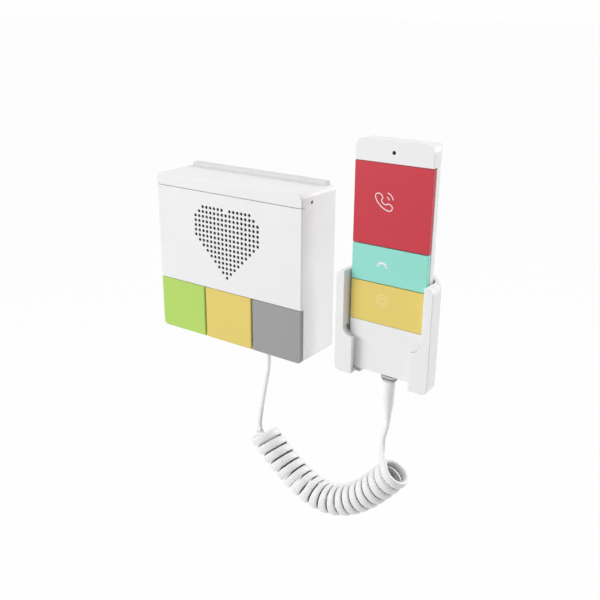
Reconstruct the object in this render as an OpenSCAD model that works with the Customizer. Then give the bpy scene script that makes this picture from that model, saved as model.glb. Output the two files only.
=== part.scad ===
// Wall intercom with a heart grille, three wide keys, and a corded handset in its own cradle.
// Millimetres. X runs right along the wall, Y into the wall, Z up; the wall is the plane Y = 0.

/* [Main unit] */
// Width of the main unit
body_w = 120; // [100:1:150]
// Height of the main unit
body_h = 110; // [106:1:140]
// Depth of the main unit, from the wall to the front
body_d = 37; // [34:0.5:50]
// Radius of the main unit's four corners, seen from the front
body_corner_r = 3; // [1.5:0.5:6]
// Thickness of the housing's walls
wall = 2.4; // [2:0.1:3]
// Height of the plain band above the front panel
band_h = 7.9; // [6:0.1:12]
// Thickness of the front panel
panel_t = 2.8; // [2:0.1:3.5]
// Seam round the front panel and keys
seam = 0.4; // [0.3:0.05:0.8]
// Depth of the rear cover's grey top strip
strip_d = 5.5; // [4:0.5:12]
// How far the strip stops short of each side
strip_inset = 4; // [3.5:0.5:14]
// How far the strip stands above the top of the housing
strip_rise = 2.8; // [0.5:0.1:4]
// Thickness of the rear cover's plate
cover_t = 2.4; // [2:0.1:3]
// Width and height of the cable window in the back
window_size = [40, 20]; // [16:1:44]
// Height of the cable window's middle above the main unit's middle
window_z = -28; // [-30:1:-24]

/* [Wall bracket] */
// Width of the steel wall bracket
bracket_w = 88; // [80:1:90]
// Height of the steel wall bracket
bracket_h = 84; // [80:1:86]
// Thickness of the steel wall bracket
bracket_t = 1.6; // [1:0.1:2]
// Distance between wall screws, both ways
screw_pitch = 60; // [55:0.5:66]
// Diameter of the wall screw holes
screw_hole_d = 4.5; // [3.5:0.1:6]

/* [Grille] */
// Distance from hole to hole in the grille
hole_pitch = 3.25; // [2.8:0.05:3.5]
// Diameter of a grille hole
hole_d = 2.2; // [1.2:0.1:2.4]
// Thickness of the front panel where the holes are
grille_t = 0.9; // [0.8:0.1:1.8]
// Columns of holes on each side of the middle
heart_half = 8; // [5:1:8]

/* [Keys] */
// Height of the row of keys
key_h = 36.5; // [30:0.5:40]
// Gap between neighbouring keys
key_gap = 1; // [0.5:0.1:1.2]
// Thickness of a key's cap
key_t = 1.6; // [1.4:0.1:3]
// Travel of a key of the main unit
key_travel = 1.0; // [0.6:0.1:1.4]

/* [Speaker] */
// Outer diameter of the loudspeaker
speaker_d = 50; // [44:1:54]
// Depth of the loudspeaker's basket
basket_d = 12; // [9:0.5:12]
// Diameter of the magnet
magnet_d = 30; // [24:1:34]

/* [Handset] */
// Width of the handset
handset_w = 50.6; // [46:0.2:58]
// Height of the handset
handset_h = 144.6; // [138:0.2:160]
// Thickness of the handset
handset_t = 16.2; // [15:0.1:20]
// Radius of the handset's four corners, seen from the front
handset_corner_r = 5; // [3:0.5:8]
// Radius along the sides of the handset's back
back_r = 9.5; // [6:0.5:11]
// Radius along the top and bottom ends of the handset's back
end_r = 6; // [3:0.5:8]
// Wall of the handset's shells
shell_t = 2; // [1.6:0.1:2.4]
// Height of the plain band above the handset's keys
top_band_h = 12.9; // [11:0.1:18]
// Heights of the red, cyan and yellow keys, with their gaps
hand_key_h = [49.7, 23.2, 26]; // [20:0.1:60]
// Gap between neighbouring handset keys
hand_key_gap = 0.5; // [0.3:0.1:1]
// Travel of a handset key
hand_key_travel = 0.8; // [0.5:0.1:1]

/* [Cradle] */
// Free wall between the main unit and the cradle
cradle_gap = 18.2; // [12:0.2:40]
// Height of the cradle's floor below the main unit's middle
cradle_floor = 54.6; // [50:0.1:60]
// Height of the cradle's arms above its floor
arm_h = 64.6; // [50:0.2:80]
// Thickness of an arm
arm_t = 6; // [5:0.2:8]
// Free play between the handset's side and an arm
arm_play = 1.5; // [0.6:0.1:2]
// Height of the lower lips above the floor
lip_h = 22.6; // [15:0.2:30]
// How far a lower lip reaches over the handset's front
lip_reach = 5.2; // [4:0.2:8]
// Thickness of the lower lips
lip_d = 5.6; // [4:0.2:6]
// Thickness of the cradle's back
cradle_back_t = 3.5; // [3:0.1:5]
// Distance between the cradle's two wall screws
cradle_screw_pitch = 36; // [30:1:38]

/* [Cord] */
// Width of the flat cord
cord_w = 6; // [5:0.1:6.2]
// Thickness of the flat cord
cord_t = 3.2; // [2.6:0.1:3.4]
// Outer diameter of the curls
curl_d = 22; // [20:0.5:23]
// Whole turns of the coil, before its ends are trimmed
curls = 19; // [14:1:19]

/* [Hidden] */
$fn = 48;

// Small values shared by many pieces
play = 0.3;          // clearance between a piece and its seat
eps = 0.5;           // how far a cut runs past a face
stop_play = 0.2;     // what is left of a key's room at the end of its travel

// Main unit, worked out
front_y = -body_d;
panel_back_y = front_y + panel_t;
seam_z = body_h / 2 - band_h;
key_top_z = -body_h / 2 + key_h;
inner_w = body_w - 2 * wall;
inner_h = body_h - 2 * wall;
inner_r = max(body_corner_r - wall, 0.5);
ledge_w = 1;
ledge_t = 1.2;
strip_w = body_w - 2 * strip_inset;
strip_root = 3;
cover_y = -bracket_t - cover_t;
boss_d = 7;
boss_inset = 7.6;
boss_at = [inner_w / 2 - boss_inset, inner_h / 2 - boss_inset];
boss_depth = 16;
gusset_t = 1.6;
cover_screw_d = 2.9;
cover_screw_l = cover_t + boss_depth - 4;
cover_head_d = 5.6;
cover_head_t = bracket_t - play;
hook_w = 10;
hook_h = 6;
hook_reach = cover_t + 3;
hook_in = [30, 12];
hook_at = [bracket_w / 2 - hook_in.x, bracket_h / 2 - hook_in.y];

// Keys, their frame and the board behind them
key_w = (body_w - 2 * key_gap) / 3;
key_back_y = front_y + key_t;
frame_t = 2;
frame_y = key_back_y + key_travel + stop_play;
frame_back_y = frame_y + frame_t;
frame_rib_h = 3;
frame_top_z = key_top_z + frame_rib_h;
plunger_d = 6;
guide_d = 4;
guide_x = key_w / 2 - 6;
plunger_tip_y = frame_back_y + 0.7;
switch_w = 6;
stem_d = 3.4;
stem_h = 0.6;
switch_play = 0.1;
switch_top_y = plunger_tip_y + key_travel + switch_play;
switch_h = 1.8;
board_t = 1.6;
board_y = switch_top_y + switch_h;
board_back_y = board_y + board_t;
board_in = [5.5, 2.6];
board_rise = 0.5;
board_w = inner_w - 2 * board_in.x;
board_top_z = frame_top_z + board_rise;
board_bottom_z = -inner_h / 2 + board_in.y;
standoff_d = 5;
standoff_inset = 4;
jack_size = [16, 15.6, 13.4];
jack_x = -window_size.x / 4;
plug_size = [11.8, 12, 6.8];
terminal_size = [15, 12.6, 10];
terminal_x = window_size.x / 4;
terminal_hole = [3, 2];

// The heart and the speaker behind it share the middle of the front panel
heart_rows = heart_half + 7;
speaker_z = (key_top_z + seam_z - seam) / 2;
heart_top = speaker_z + (heart_rows - 1) * hole_pitch / 2;
grille_w = max(2 * heart_half * hole_pitch + hole_d, speaker_d);
grille_h = max((heart_rows - 1) * hole_pitch + hole_d, speaker_d);
grille_back_y = front_y + grille_t;
nest_t = 1.6;
nest_d = 4;
nest_r = 2.4;

// Speaker, from the panel backwards
cloth_t = 0.4;
gasket_t = 1;
gasket_w = 3;
rim_t = 0.4;
flange_t = 1.5;
gasket_y = grille_back_y + cloth_t;
rim_y = gasket_y + gasket_t;
flange_y = rim_y + rim_t;
basket_back_y = flange_y + basket_d;
yoke_t = 1.5;
magnet_t = 7;
speaker_r = speaker_d / 2;
basket_wall = 1;
basket_neck = 1.5;
basket_window_w = 12;
basket_window_end = [3, 1];   // what is left of the basket before and behind its windows
cone_t = 0.6;
cone_taper = 0.4;
cone_rim = 1;
cone_room = 4;                // between the cone's neck and the basket's back
cone_neck_in = 8;
surround = [4, 6, 1];         // outer edge and inner edge, in from the rim, and depth of the roll
dust_cap = [2, 2, 3.5];       // in from the neck, and its depths there and in the middle

// Microphone in the right side
mic_hole_d = 2.2;
mic_d = 4;
mic_t = 2.5;
boot_d = 5.4;
boot_t = 5;
mic_at = [body_w / 2, front_y + 10.7, inner_h / 2 - inner_r - boot_d / 2 - 0.1];

// Handset and cradle
cradle_w = handset_w + 2 * arm_play + 2 * arm_t;
hx = body_w / 2 + cradle_gap + cradle_w / 2;
handset_back_y = -cradle_back_t - play;
handset_front_y = handset_back_y - handset_t;
handset_bottom_z = -cradle_floor + play;
handset_top_z = handset_bottom_z + handset_h;
hand_key_top_z = handset_top_z - top_band_h;
hand_key_bottom_z = hand_key_top_z - hand_key_h[0] - hand_key_h[1] - hand_key_h[2];
hand_key_t = 3;
hand_deck_t = 2.2;
hand_key_back_y = handset_front_y + hand_key_t;
hand_deck_y = hand_key_back_y + hand_key_travel + stop_play;
hand_deck_back_y = hand_deck_y + hand_deck_t;
parting_y = hand_deck_back_y + 1.3;
hand_rib_t = 1;
hand_rib_x = handset_w / 2 - 3;
hand_rib_overlap = 0.4;
hand_plunger_d = 5;
hand_guide_d = 3.4;
hand_tip_y = hand_deck_back_y + 0.8;
hand_switch_top_y = hand_tip_y + hand_key_travel + switch_play;
hand_switch_h = 1.6;
hand_board_t = 1.2;
hand_board_y = hand_switch_top_y + hand_switch_h;
hand_board_in = 6;
hand_board_w = handset_w - 2 * hand_board_in;
hand_post_d = 4;
hand_post_in = 3;
hand_post_end = [6, 5];
hand_post_x = hand_board_w / 2 - hand_post_in;
hand_post_z = [hand_key_bottom_z + hand_post_end[0], hand_key_top_z - hand_post_end[1]];
hand_guide_x = handset_w / 2 - 10;
hand_mic_z = handset_top_z - 6.7;
hand_mic_d = 5;
hand_mic_t = 2.5;
hand_boss_d = 6;
hand_boss_in = [9.5, 8];
hand_boss_x = handset_w / 2 - hand_boss_in.x;
hand_boss_z = [handset_bottom_z + hand_boss_in.y, handset_top_z - hand_boss_in.y];
hand_screw_d = 2.2;
hand_screw_head_d = 4.2;
hand_screw_head_t = 1.6;
hand_screw_sink = 0.5;
hand_screw_end = 4;
hand_screw_seat_y = handset_back_y - hand_screw_head_t - hand_screw_sink;
hand_screw_l = hand_screw_seat_y - handset_front_y - hand_screw_end;

cradle_front_y = handset_front_y - play - lip_d;
lip_back_y = handset_front_y - play;
pocket_w = handset_w + 2 * arm_play;
pocket_r = back_r + 0.7;
floor_t = 2.4;
floor_gap_w = 34;
side_back_y = -cradle_back_t - pocket_r - 1.3;
foot_w = cradle_w - 1.92 * pocket_r;
foot_t = 1.5;
arm_end_r = 4;
step_r = lip_reach + arm_play - 0.4;
cradle_bottom_z = -cradle_floor - floor_t;
cradle_screw_z = -cradle_floor + arm_h / 2 - 4;
cradle_screw_d = 4.2;
cradle_head_d = 8.4;
cradle_head_t = 1.8;

// Cord outlets
grommet_at = [20, -18];
grommet_neck_d = 8;
grommet_flange = [12, 1.6];
sleeve_top_d = 10;
sleeve_end_d = cord_w + 1.4;
sleeve_l = 6;
lead_top = [grommet_at.x, grommet_at.y, -body_h / 2 - sleeve_l];
outlet_y = handset_back_y - handset_t * 0.45;
collar_size = [10.8, 8, 7.2];
collar_r = 2.4;
relief_top_d = 7.6;
relief_skin = 0.35;  // what the sleeve adds to the cord at its thin end
relief_l = 28.8;
relief_sides = 24;
tail_top = [hx, outlet_y, handset_bottom_z - collar_size.z - relief_l];

// Route of the cord: the coil's axis is one cubic curve in a plane parallel to the wall
coil_y = -16;
coil_axis = [[14, coil_y, -130], [59, coil_y, -175], [84, coil_y, -173], [121.5, coil_y, -121.5]];
curl_r = (curl_d - cord_t) / 2;
curl_start = 180;
curl_end_trim = 225;
curl_turns = curls - curl_end_trim / 360;
rings_per_curl = 8;
coil_rings = round(curl_turns * rings_per_curl);
lead_route = [
    [20, -18, -72], [18.5, -17.5, -80], [16.5, -17, -88], [13.5, -15.5, -98], [9.5, -13, -110],
    [6, -10, -119], [4, -8.8, -126], [4, -8.6, -131], [4.8, -9.4, -134.5]
];
tail_route = [[110.6, -11.4, -97], [109.4, -11.6, -103], [109.2, -13, -108.5], [110.8, -16, -112.8]];
edge_on = [0.575, -0.818, 0];

// Shapes used by many pieces
module round_rect(w, h, r) {
    square([w - 2 * r, h], center = true);
    square([w, h - 2 * r], center = true);
    for (x = [-1, 1], y = [-1, 1])
        translate([x * (w / 2 - r), y * (h / 2 - r)]) circle(r);
}

// A flat outline drawn in X and Z, carried along Y from y0 for a length t
module along_y(y0, t) {
    translate([0, y0 + t, 0]) rotate([90, 0, 0]) linear_extrude(t) children();
}

// A block from one corner to the other
module block(a, b) {
    translate(a) cube(b - a);
}

// A round bar along Y
module bar_y(x, z, y0, t, d) {
    translate([x, y0, z]) rotate([-90, 0, 0]) cylinder(d = d, h = t);
}

// A turned shape about an axis along Y; the outline is given as [radius, depth]
module turned_y(z, outline) {
    translate([0, 0, z]) rotate([-90, 0, 0]) rotate_extrude() polygon(outline);
}

// Cross-section of the handset or of the pocket that takes it: square front, rounded back
module hand_section(w, y0, y1, r) {
    translate([-w / 2, y0]) square([w, y1 - y0 - r]);
    translate([-w / 2 + r, y0]) square([w - 2 * r, y1 - y0]);
    for (x = [-1, 1]) translate([x * (w / 2 - r), y1 - r]) circle(r);
}

// The handset's outside, or its inside at an inset: round corners, and rounded sides and ends at the back
module handset_form(inset) {
    w = handset_w - 2 * inset;
    h = handset_h - 2 * inset;
    front = handset_front_y + inset;
    back = handset_back_y - inset;
    mid_z = handset_bottom_z + handset_h / 2;
    intersection() {
        translate([0, 0, mid_z - h / 2]) linear_extrude(h) hand_section(w, front, back, back_r - inset);
        translate([0, 0, mid_z]) along_y(handset_front_y, handset_t)
            round_rect(w, h, handset_corner_r - inset);
        translate([-w / 2, 0, mid_z]) rotate([0, 90, 0]) linear_extrude(w)
            hand_section(h, front, back, end_r - inset);
    }
}

// A slab wider than the handset, between two depths and two heights
module hand_zone(y0, y1, z0, z1) {
    block([-handset_w, y0, z0], [handset_w, y1, z1]);
}

module pan_screw_y(x, z, seat_y, head_d, head_t, d, l) {
    bar_y(x, z, seat_y, head_t, head_d);
    bar_y(x, z, seat_y - l, l, d);
}

// Main unit

module wall_bracket() {
    color("silver") {
        along_y(-bracket_t, bracket_t) difference() {
            round_rect(bracket_w, bracket_h, 4);
            translate([0, window_z]) round_rect(window_size.x, window_size.y, 2);
            for (x = [-1, 1], z = [-1, 1])
                translate([x * screw_pitch / 2, z * screw_pitch / 2]) circle(d = screw_hole_d);
        }
        for (x = [-1, 1]) translate([x * hook_at.x, -bracket_t - hook_reach, hook_at.y]) {
            block([-hook_w / 2, 0, 0], [hook_w / 2, hook_reach, bracket_t]);
            block([-hook_w / 2, 0, 0], [hook_w / 2, bracket_t, hook_h]);
        }
    }
}

module rear_cover() {
    cover_w = inner_w - 2 * play;
    cover_h = inner_h - 2 * play;
    color("gainsboro") difference() {
        union() {
            along_y(cover_y, cover_t) round_rect(cover_w, cover_h, inner_r);
            block([-strip_w / 2 + play, -strip_d + play, inner_h / 2 - strip_root],
                  [strip_w / 2 - play, 0, body_h / 2 + strip_rise]);
        }
        along_y(cover_y - eps, cover_t + 2 * eps) {
            translate([0, window_z]) round_rect(window_size.x, window_size.y, 2);
            for (x = [-1, 1]) translate([x * hook_at.x, hook_at.y + hook_h / 2])
                square([hook_w + 2, hook_h + 2], center = true);
        }
        for (x = [-1, 1], z = [-1, 1])
            bar_y(x * boss_at.x, z * boss_at.y, cover_y - eps, cover_t + 2 * eps, cover_screw_d + 0.6);
    }
}

module housing() {
    window_w = inner_w - 2 * ledge_w;
    color("white") difference() {
        union() {
            difference() {
                along_y(front_y, body_d) round_rect(body_w, body_h, body_corner_r);
                along_y(panel_back_y + ledge_t, body_d) round_rect(inner_w, inner_h, inner_r);
            }
            for (x = [-1, 1], z = [-1, 1]) translate([0, cover_y - boss_depth, z * boss_at.y]) {
                bar_y(x * boss_at.x, 0, 0, boss_depth, boss_d);
                block([min(x * boss_at.x, x * inner_w / 2), 0, -gusset_t / 2],
                      [max(x * boss_at.x, x * inner_w / 2), boss_depth, gusset_t / 2]);
            }
        }
        block([-body_w, front_y - eps, key_top_z], [body_w, panel_back_y, seam_z]);
        block([-window_w / 2, front_y, key_top_z],
              [window_w / 2, panel_back_y + ledge_t + eps, seam_z - seam - ledge_w]);
        block([-body_w, front_y - eps, -body_h], [body_w, frame_y, key_top_z]);
        intersection() {
            along_y(front_y, panel_t + ledge_t + eps) round_rect(inner_w, inner_h, inner_r);
            block([-body_w, front_y, -body_h], [body_w, 0, frame_top_z + play]);
        }
        block([-strip_w / 2, -strip_d, inner_h / 2 - eps], [strip_w / 2, eps, body_h]);
        for (x = [-1, 1], z = [-1, 1])
            bar_y(x * boss_at.x, z * boss_at.y, cover_y - boss_depth + 2, boss_depth, cover_screw_d + 0.1);
        translate([grommet_at.x, grommet_at.y, -body_h / 2 - eps])
            cylinder(d = grommet_neck_d + 0.4, h = wall + 2 * eps);
        translate([mic_at.x - wall - eps, mic_at.y, mic_at.z]) rotate([0, 90, 0])
            cylinder(d = mic_hole_d, h = wall + 2 * eps);
    }
}

// Holes in row r, counted from the top: a heart of two rounded lobes that narrows to a point
function heart_reach(r) = r < 2 ? heart_half - 2 + r : r < 7 ? heart_half : heart_half + 6 - r;

module heart_holes() {
    for (r = [0 : heart_rows - 1], c = [-heart_reach(r) : heart_reach(r)])
        if (r > 0 || c != 0)
            translate([c * hole_pitch, heart_top - r * hole_pitch]) circle(d = hole_d, $fn = 24);
}

module front_panel() {
    bottom = key_top_z;
    top = seam_z - seam;
    color("white") {
        difference() {
            block([-body_w / 2, front_y, bottom], [body_w / 2, panel_back_y, top]);
            along_y(front_y - eps, panel_t + 2 * eps) heart_holes();
            along_y(grille_back_y, panel_t) nest_outline(play);
        }
        along_y(panel_back_y, nest_d) difference() {
            nest_outline(play + nest_t);
            nest_outline(play);
        }
    }
}

// The cloth's outline, grown by some margin
module nest_outline(margin) {
    translate([0, speaker_z]) round_rect(grille_w + 2 * margin, grille_h + 2 * margin, nest_r + margin);
}

module key_frame() {
    frame_w = inner_w - 2 * play;
    standoff_x = board_w / 2 - standoff_inset;
    color("whitesmoke") difference() {
        union() {
            intersection() {
                along_y(frame_y, frame_t) round_rect(frame_w, inner_h - 2 * play, inner_r);
                block([-frame_w, frame_y, -body_h], [frame_w, frame_back_y, frame_top_z]);
            }
            block([-frame_w / 2, panel_back_y, key_top_z + play], [frame_w / 2, frame_back_y, frame_top_z]);
            for (x = [-1, 1], z = [board_bottom_z + standoff_inset, board_top_z - standoff_inset])
                bar_y(x * standoff_x, z, frame_back_y, board_y - frame_back_y, standoff_d);
        }
        along_y(panel_back_y - eps, nest_d + eps + play) nest_outline(nest_t + 2 * play);
        for (k = [-1 : 1]) {
            bar_y(key_x(k), key_z(), frame_y - eps, frame_t + 2 * eps, plunger_d + 2 * play);
            for (x = [-1, 1])
                bar_y(key_x(k) + x * guide_x, key_z(), frame_y - eps, frame_t + 2 * eps, guide_d + 2 * play);
        }
    }
}

module grille_cloth() {
    color("black") along_y(grille_back_y, cloth_t) nest_outline(0);
}

module speaker_gasket() {
    color("dimgray") along_y(gasket_y, gasket_t) translate([0, speaker_z]) difference() {
        circle(speaker_r);
        circle(speaker_r - gasket_w);
    }
}

module speaker_basket() {
    r = speaker_r;
    m = magnet_d / 2;
    color("gray") difference() {
        turned_y(speaker_z, [
            [r - gasket_w, flange_y], [r, flange_y], [r, flange_y + flange_t],
            [r - basket_wall, flange_y + flange_t], [m, basket_back_y], [m, basket_back_y + yoke_t],
            [0, basket_back_y + yoke_t], [0, basket_back_y], [m - basket_neck, basket_back_y],
            [r - gasket_w, flange_y + flange_t]
        ]);
        translate([0, 0, speaker_z]) for (a = [45 : 90 : 315]) rotate([0, a, 0])
            block([m, flange_y + basket_window_end[0], -basket_window_w / 2],
                  [m + r, basket_back_y - basket_window_end[1], basket_window_w / 2]);
    }
}

module speaker_cone() {
    rim = speaker_r - cone_rim;
    roll = [speaker_r - surround[0], speaker_r - surround[1]];
    neck = magnet_d / 2 - cone_neck_in;
    cap = neck - dust_cap[0];
    back = rim_y + basket_d - cone_room;
    color("darkslategray") turned_y(speaker_z, [
        [rim, rim_y], [rim, rim_y + rim_t], [roll[0], rim_y + rim_t], [roll[1], rim_y + rim_t + surround[2]],
        [neck, back], [cap, back - dust_cap[1]], [0, back - dust_cap[2]],
        [0, back - dust_cap[2] - cone_t], [cap, back - dust_cap[1] - cone_t],
        [neck, back - cone_t - cone_taper], [roll[1], rim_y + cone_t], [roll[0], rim_y]
    ]);
}

module speaker_magnet() {
    color("dimgray") bar_y(0, speaker_z, basket_back_y + yoke_t, magnet_t, magnet_d);
}

module main_board() {
    color("green") block([-board_w / 2, board_y, board_bottom_z], [board_w / 2, board_back_y, board_top_z]);
}

module key_switch(x, z, top_y, h) {
    r = switch_w / 2;
    block([x - r, top_y + stem_h, z - r], [x + r, top_y + h, z + r]);
    bar_y(x, z, top_y, stem_h, stem_d);
}

module key_switches() {
    color("darkgray") for (k = [-1 : 1]) key_switch(key_x(k), key_z(), switch_top_y, switch_h);
}

module network_jack() {
    j = jack_size;
    p = plug_size;
    color("silver") translate([jack_x, board_back_y, window_z]) difference() {
        block([-j.x / 2, 0, -j.z / 2], [j.x / 2, j.y, j.z / 2]);
        block([-p.x / 2, j.y - p.y, -p.z / 2], [p.x / 2, j.y + eps, p.z / 2]);
    }
}

module terminal_block() {
    s = terminal_size;
    h = terminal_hole;
    color("seagreen") translate([terminal_x, board_back_y, window_z]) difference() {
        block([-s.x / 2, 0, -s.z / 2], [s.x / 2, s.y, s.z / 2]);
        for (i = [-1 : 1]) bar_y(i * s.x / 3, 0, s.y - h[1], h[1] + eps, h[0]);
    }
}

module microphone_boot() {
    depth = body_w / 2 - wall;
    color("dimgray") translate([depth - boot_t, mic_at.y, mic_at.z]) rotate([0, 90, 0]) difference() {
        cylinder(d = boot_d, h = boot_t);
        translate([0, 0, -eps]) cylinder(d = mic_d, h = mic_t + eps);
        cylinder(d = mic_hole_d, h = boot_t + eps);
    }
}

module microphone() {
    depth = body_w / 2 - wall - boot_t;
    color("gray") translate([depth, mic_at.y, mic_at.z]) rotate([0, 90, 0])
        cylinder(d = mic_d - 0.1, h = mic_t);
}

module cover_screws() {
    color("silver") for (x = [-1, 1], z = [-1, 1])
        pan_screw_y(x * boss_at.x, z * boss_at.y, -bracket_t, cover_head_d, cover_head_t, cover_screw_d,
                    cover_screw_l);
}

module cord_grommet() {
    bottom = -body_h / 2;
    color("whitesmoke") translate([grommet_at.x, grommet_at.y, 0]) rotate_extrude() polygon([
        [0, bottom - sleeve_l], [sleeve_end_d / 2, bottom - sleeve_l], [sleeve_top_d / 2, bottom - 1],
        [sleeve_top_d / 2, bottom], [grommet_neck_d / 2, bottom], [grommet_neck_d / 2, bottom + wall],
        [grommet_flange.x / 2, bottom + wall], [grommet_flange.x / 2, bottom + wall + grommet_flange.y],
        [0, bottom + wall + grommet_flange.y]
    ]);
}

// Keys of the main unit

function key_x(k) = k * (key_w + key_gap);
function key_z() = -body_h / 2 + key_h / 2;

module wide_key(k, tint) {
    x = key_x(k);
    top = key_top_z - seam;
    color(tint) {
        intersection() {
            block([x - key_w / 2, front_y, -body_h / 2], [x + key_w / 2, key_back_y, top]);
            along_y(front_y, key_t) round_rect(body_w, body_h, body_corner_r);
        }
        bar_y(x, key_z(), key_back_y - eps, plunger_tip_y - key_back_y + eps, plunger_d);
        for (s = [-1, 1])
            bar_y(x + s * guide_x, key_z(), key_back_y - eps, frame_back_y - key_back_y + eps, guide_d);
    }
}

module button_green() { wide_key(-1, "yellowgreen"); }
module button_yellow() { wide_key(0, "khaki"); }
module button_grey() { wide_key(1, "darkgray"); }

// Cradle

module cradle() {
    h = arm_h + floor_t;
    mid_z = cradle_bottom_z + h / 2;
    color("white") translate([hx, 0, 0]) difference() {
        intersection() {
            translate([0, 0, cradle_bottom_z]) linear_extrude(h) polygon([
                [-cradle_w / 2, cradle_front_y], [cradle_w / 2, cradle_front_y],
                [cradle_w / 2, side_back_y], [foot_w / 2, -foot_t], [foot_w / 2, 0],
                [-foot_w / 2, 0], [-foot_w / 2, -foot_t], [-cradle_w / 2, side_back_y]
            ]);
            translate([0, 0, mid_z]) along_y(cradle_front_y, -cradle_front_y)
                round_rect(cradle_w, h, arm_end_r);
        }
        translate([0, 0, -cradle_floor]) linear_extrude(arm_h + eps)
            hand_section(pocket_w, lip_back_y, -cradle_back_t, pocket_r);
        translate([0, 0, -cradle_floor]) along_y(cradle_front_y - eps, lip_d + 2 * eps) cradle_mouth();
        block([-floor_gap_w / 2, cradle_front_y - eps, cradle_bottom_z - eps],
              [floor_gap_w / 2, -cradle_back_t, -cradle_floor + eps]);
        for (z = [-1, 1]) translate([0, -cradle_back_t - eps, cradle_screw_z + z * cradle_screw_pitch / 2]) {
            bar_y(0, 0, 0, cradle_back_t + 2 * eps, cradle_screw_d);
            bar_y(0, 0, 0, cradle_head_t + eps, cradle_head_d);
        }
    }
}

// Front opening of the cradle, from its floor up: narrow between the lower lips, wide between the arms
module cradle_mouth() {
    narrow = handset_w - 2 * lip_reach;
    translate([-narrow / 2, -floor_t - eps]) square([narrow, lip_h + floor_t + 2 * eps]);
    translate([-pocket_w / 2, lip_h + step_r]) square([pocket_w, arm_h - lip_h]);
    translate([-pocket_w / 2 + step_r, lip_h]) square([pocket_w - 2 * step_r, arm_h]);
    for (x = [-1, 1]) translate([x * (pocket_w / 2 - step_r), lip_h + step_r]) circle(step_r);
}

// Handset

function hand_key_mid(i) = hand_key_top_z - (i > 0 ? hand_key_h[0] : 0) - (i > 1 ? hand_key_h[1] : 0)
    - hand_key_h[i] / 2;

module handset_front() {
    inner_y = handset_front_y + shell_t;
    boss_y = handset_front_y + 1;
    pilot_y = handset_front_y + 3;
    color("white") translate([hx, 0, 0]) difference() {
        union() {
            difference() {
                intersection() {
                    handset_form(0);
                    hand_zone(handset_front_y - eps, parting_y, handset_bottom_z - eps, handset_top_z + eps);
                }
                hand_zone(handset_front_y - eps, hand_deck_y, hand_key_bottom_z, hand_key_top_z);
                intersection() {
                    handset_form(shell_t);
                    union() {
                        hand_zone(inner_y, 0, hand_key_top_z + shell_t, handset_top_z);
                        hand_zone(hand_deck_back_y, 0, handset_bottom_z, handset_top_z);
                        hand_zone(inner_y, 0, handset_bottom_z, hand_key_bottom_z - shell_t);
                    }
                }
            }
            for (x = [-1, 1], z = hand_boss_z)
                bar_y(x * hand_boss_x, z, boss_y, parting_y - boss_y, hand_boss_d);
            for (x = [-1, 1]) translate([x * hand_rib_x, 0, 0])
                block([-hand_rib_t / 2, hand_key_back_y - hand_rib_overlap, hand_key_bottom_z - eps],
                      [hand_rib_t / 2, hand_deck_y + eps, hand_key_top_z + eps]);
            for (x = [-1, 1], z = hand_post_z) translate([x * hand_post_x, hand_deck_back_y - eps, z])
                bar_y(0, 0, 0, hand_board_y - hand_deck_back_y + eps, hand_post_d);
        }
        for (x = [-1, 1], z = hand_boss_z) bar_y(x * hand_boss_x, z, pilot_y, handset_t, hand_screw_d + 0.1);
        for (i = [0 : 2]) translate([0, hand_deck_y - eps, hand_key_mid(i)]) {
            bar_y(0, 0, 0, hand_deck_t + 2 * eps, hand_plunger_d + 2 * play);
            for (x = [-1, 1]) bar_y(x * hand_guide_x, 0, 0, hand_deck_t + 2 * eps, hand_guide_d + 2 * play);
        }
        bar_y(0, hand_mic_z, handset_front_y - eps, shell_t + 2 * eps, mic_hole_d);
    }
}

module handset_rear() {
    color("white") translate([hx, 0, 0]) difference() {
        union() {
            difference() {
                intersection() {
                    handset_form(0);
                    hand_zone(parting_y, handset_back_y + eps, handset_bottom_z - eps, handset_top_z + eps);
                }
                handset_form(shell_t);
            }
            for (x = [-1, 1], z = hand_boss_z)
                bar_y(x * hand_boss_x, z, parting_y, handset_back_y - parting_y - 1, hand_boss_d);
        }
        for (x = [-1, 1], z = hand_boss_z) {
            bar_y(x * hand_boss_x, z, parting_y - eps, handset_t, hand_screw_d + 0.4);
            bar_y(x * hand_boss_x, z, hand_screw_seat_y, handset_t, hand_screw_head_d + 0.4);
        }
    }
}

module handset_board() {
    color("green") translate([hx, 0, 0])
        block([-hand_board_w / 2, hand_board_y, hand_post_z[0] - hand_post_d],
              [hand_board_w / 2, hand_board_y + hand_board_t, hand_post_z[1] + hand_post_d]);
}

module handset_switches() {
    color("darkgray") translate([hx, 0, 0]) for (i = [0 : 2])
        key_switch(0, hand_key_mid(i), hand_switch_top_y, hand_switch_h);
}

module handset_microphone() {
    color("gray") bar_y(hx, hand_mic_z, handset_front_y + shell_t, hand_mic_t, hand_mic_d);
}

module handset_screws() {
    color("silver") translate([hx, 0, 0]) for (x = [-1, 1], z = hand_boss_z)
        pan_screw_y(x * hand_boss_x, z, hand_screw_seat_y, hand_screw_head_d, hand_screw_head_t,
                    hand_screw_d, hand_screw_l);
}

module cord_collar() {
    color("silver") translate([hx, outlet_y, handset_bottom_z - collar_size.z]) linear_extrude(collar_size.z)
        round_rect(collar_size.x, collar_size.y, collar_r);
}

// A sleeve that goes from round at the collar to flat at the cord
module strain_relief() {
    top = [hx, outlet_y, handset_bottom_z - collar_size.z];
    round_r = relief_top_d / 2;
    color("whitesmoke") tube([
        ring(top, [0, 0, -1], edge_on, round_r, round_r, relief_sides),
        ring(tail_top, [0, 0, -1], edge_on, cord_w / 2 + relief_skin, cord_t / 2 + relief_skin, relief_sides)
    ], relief_sides);
}

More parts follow.
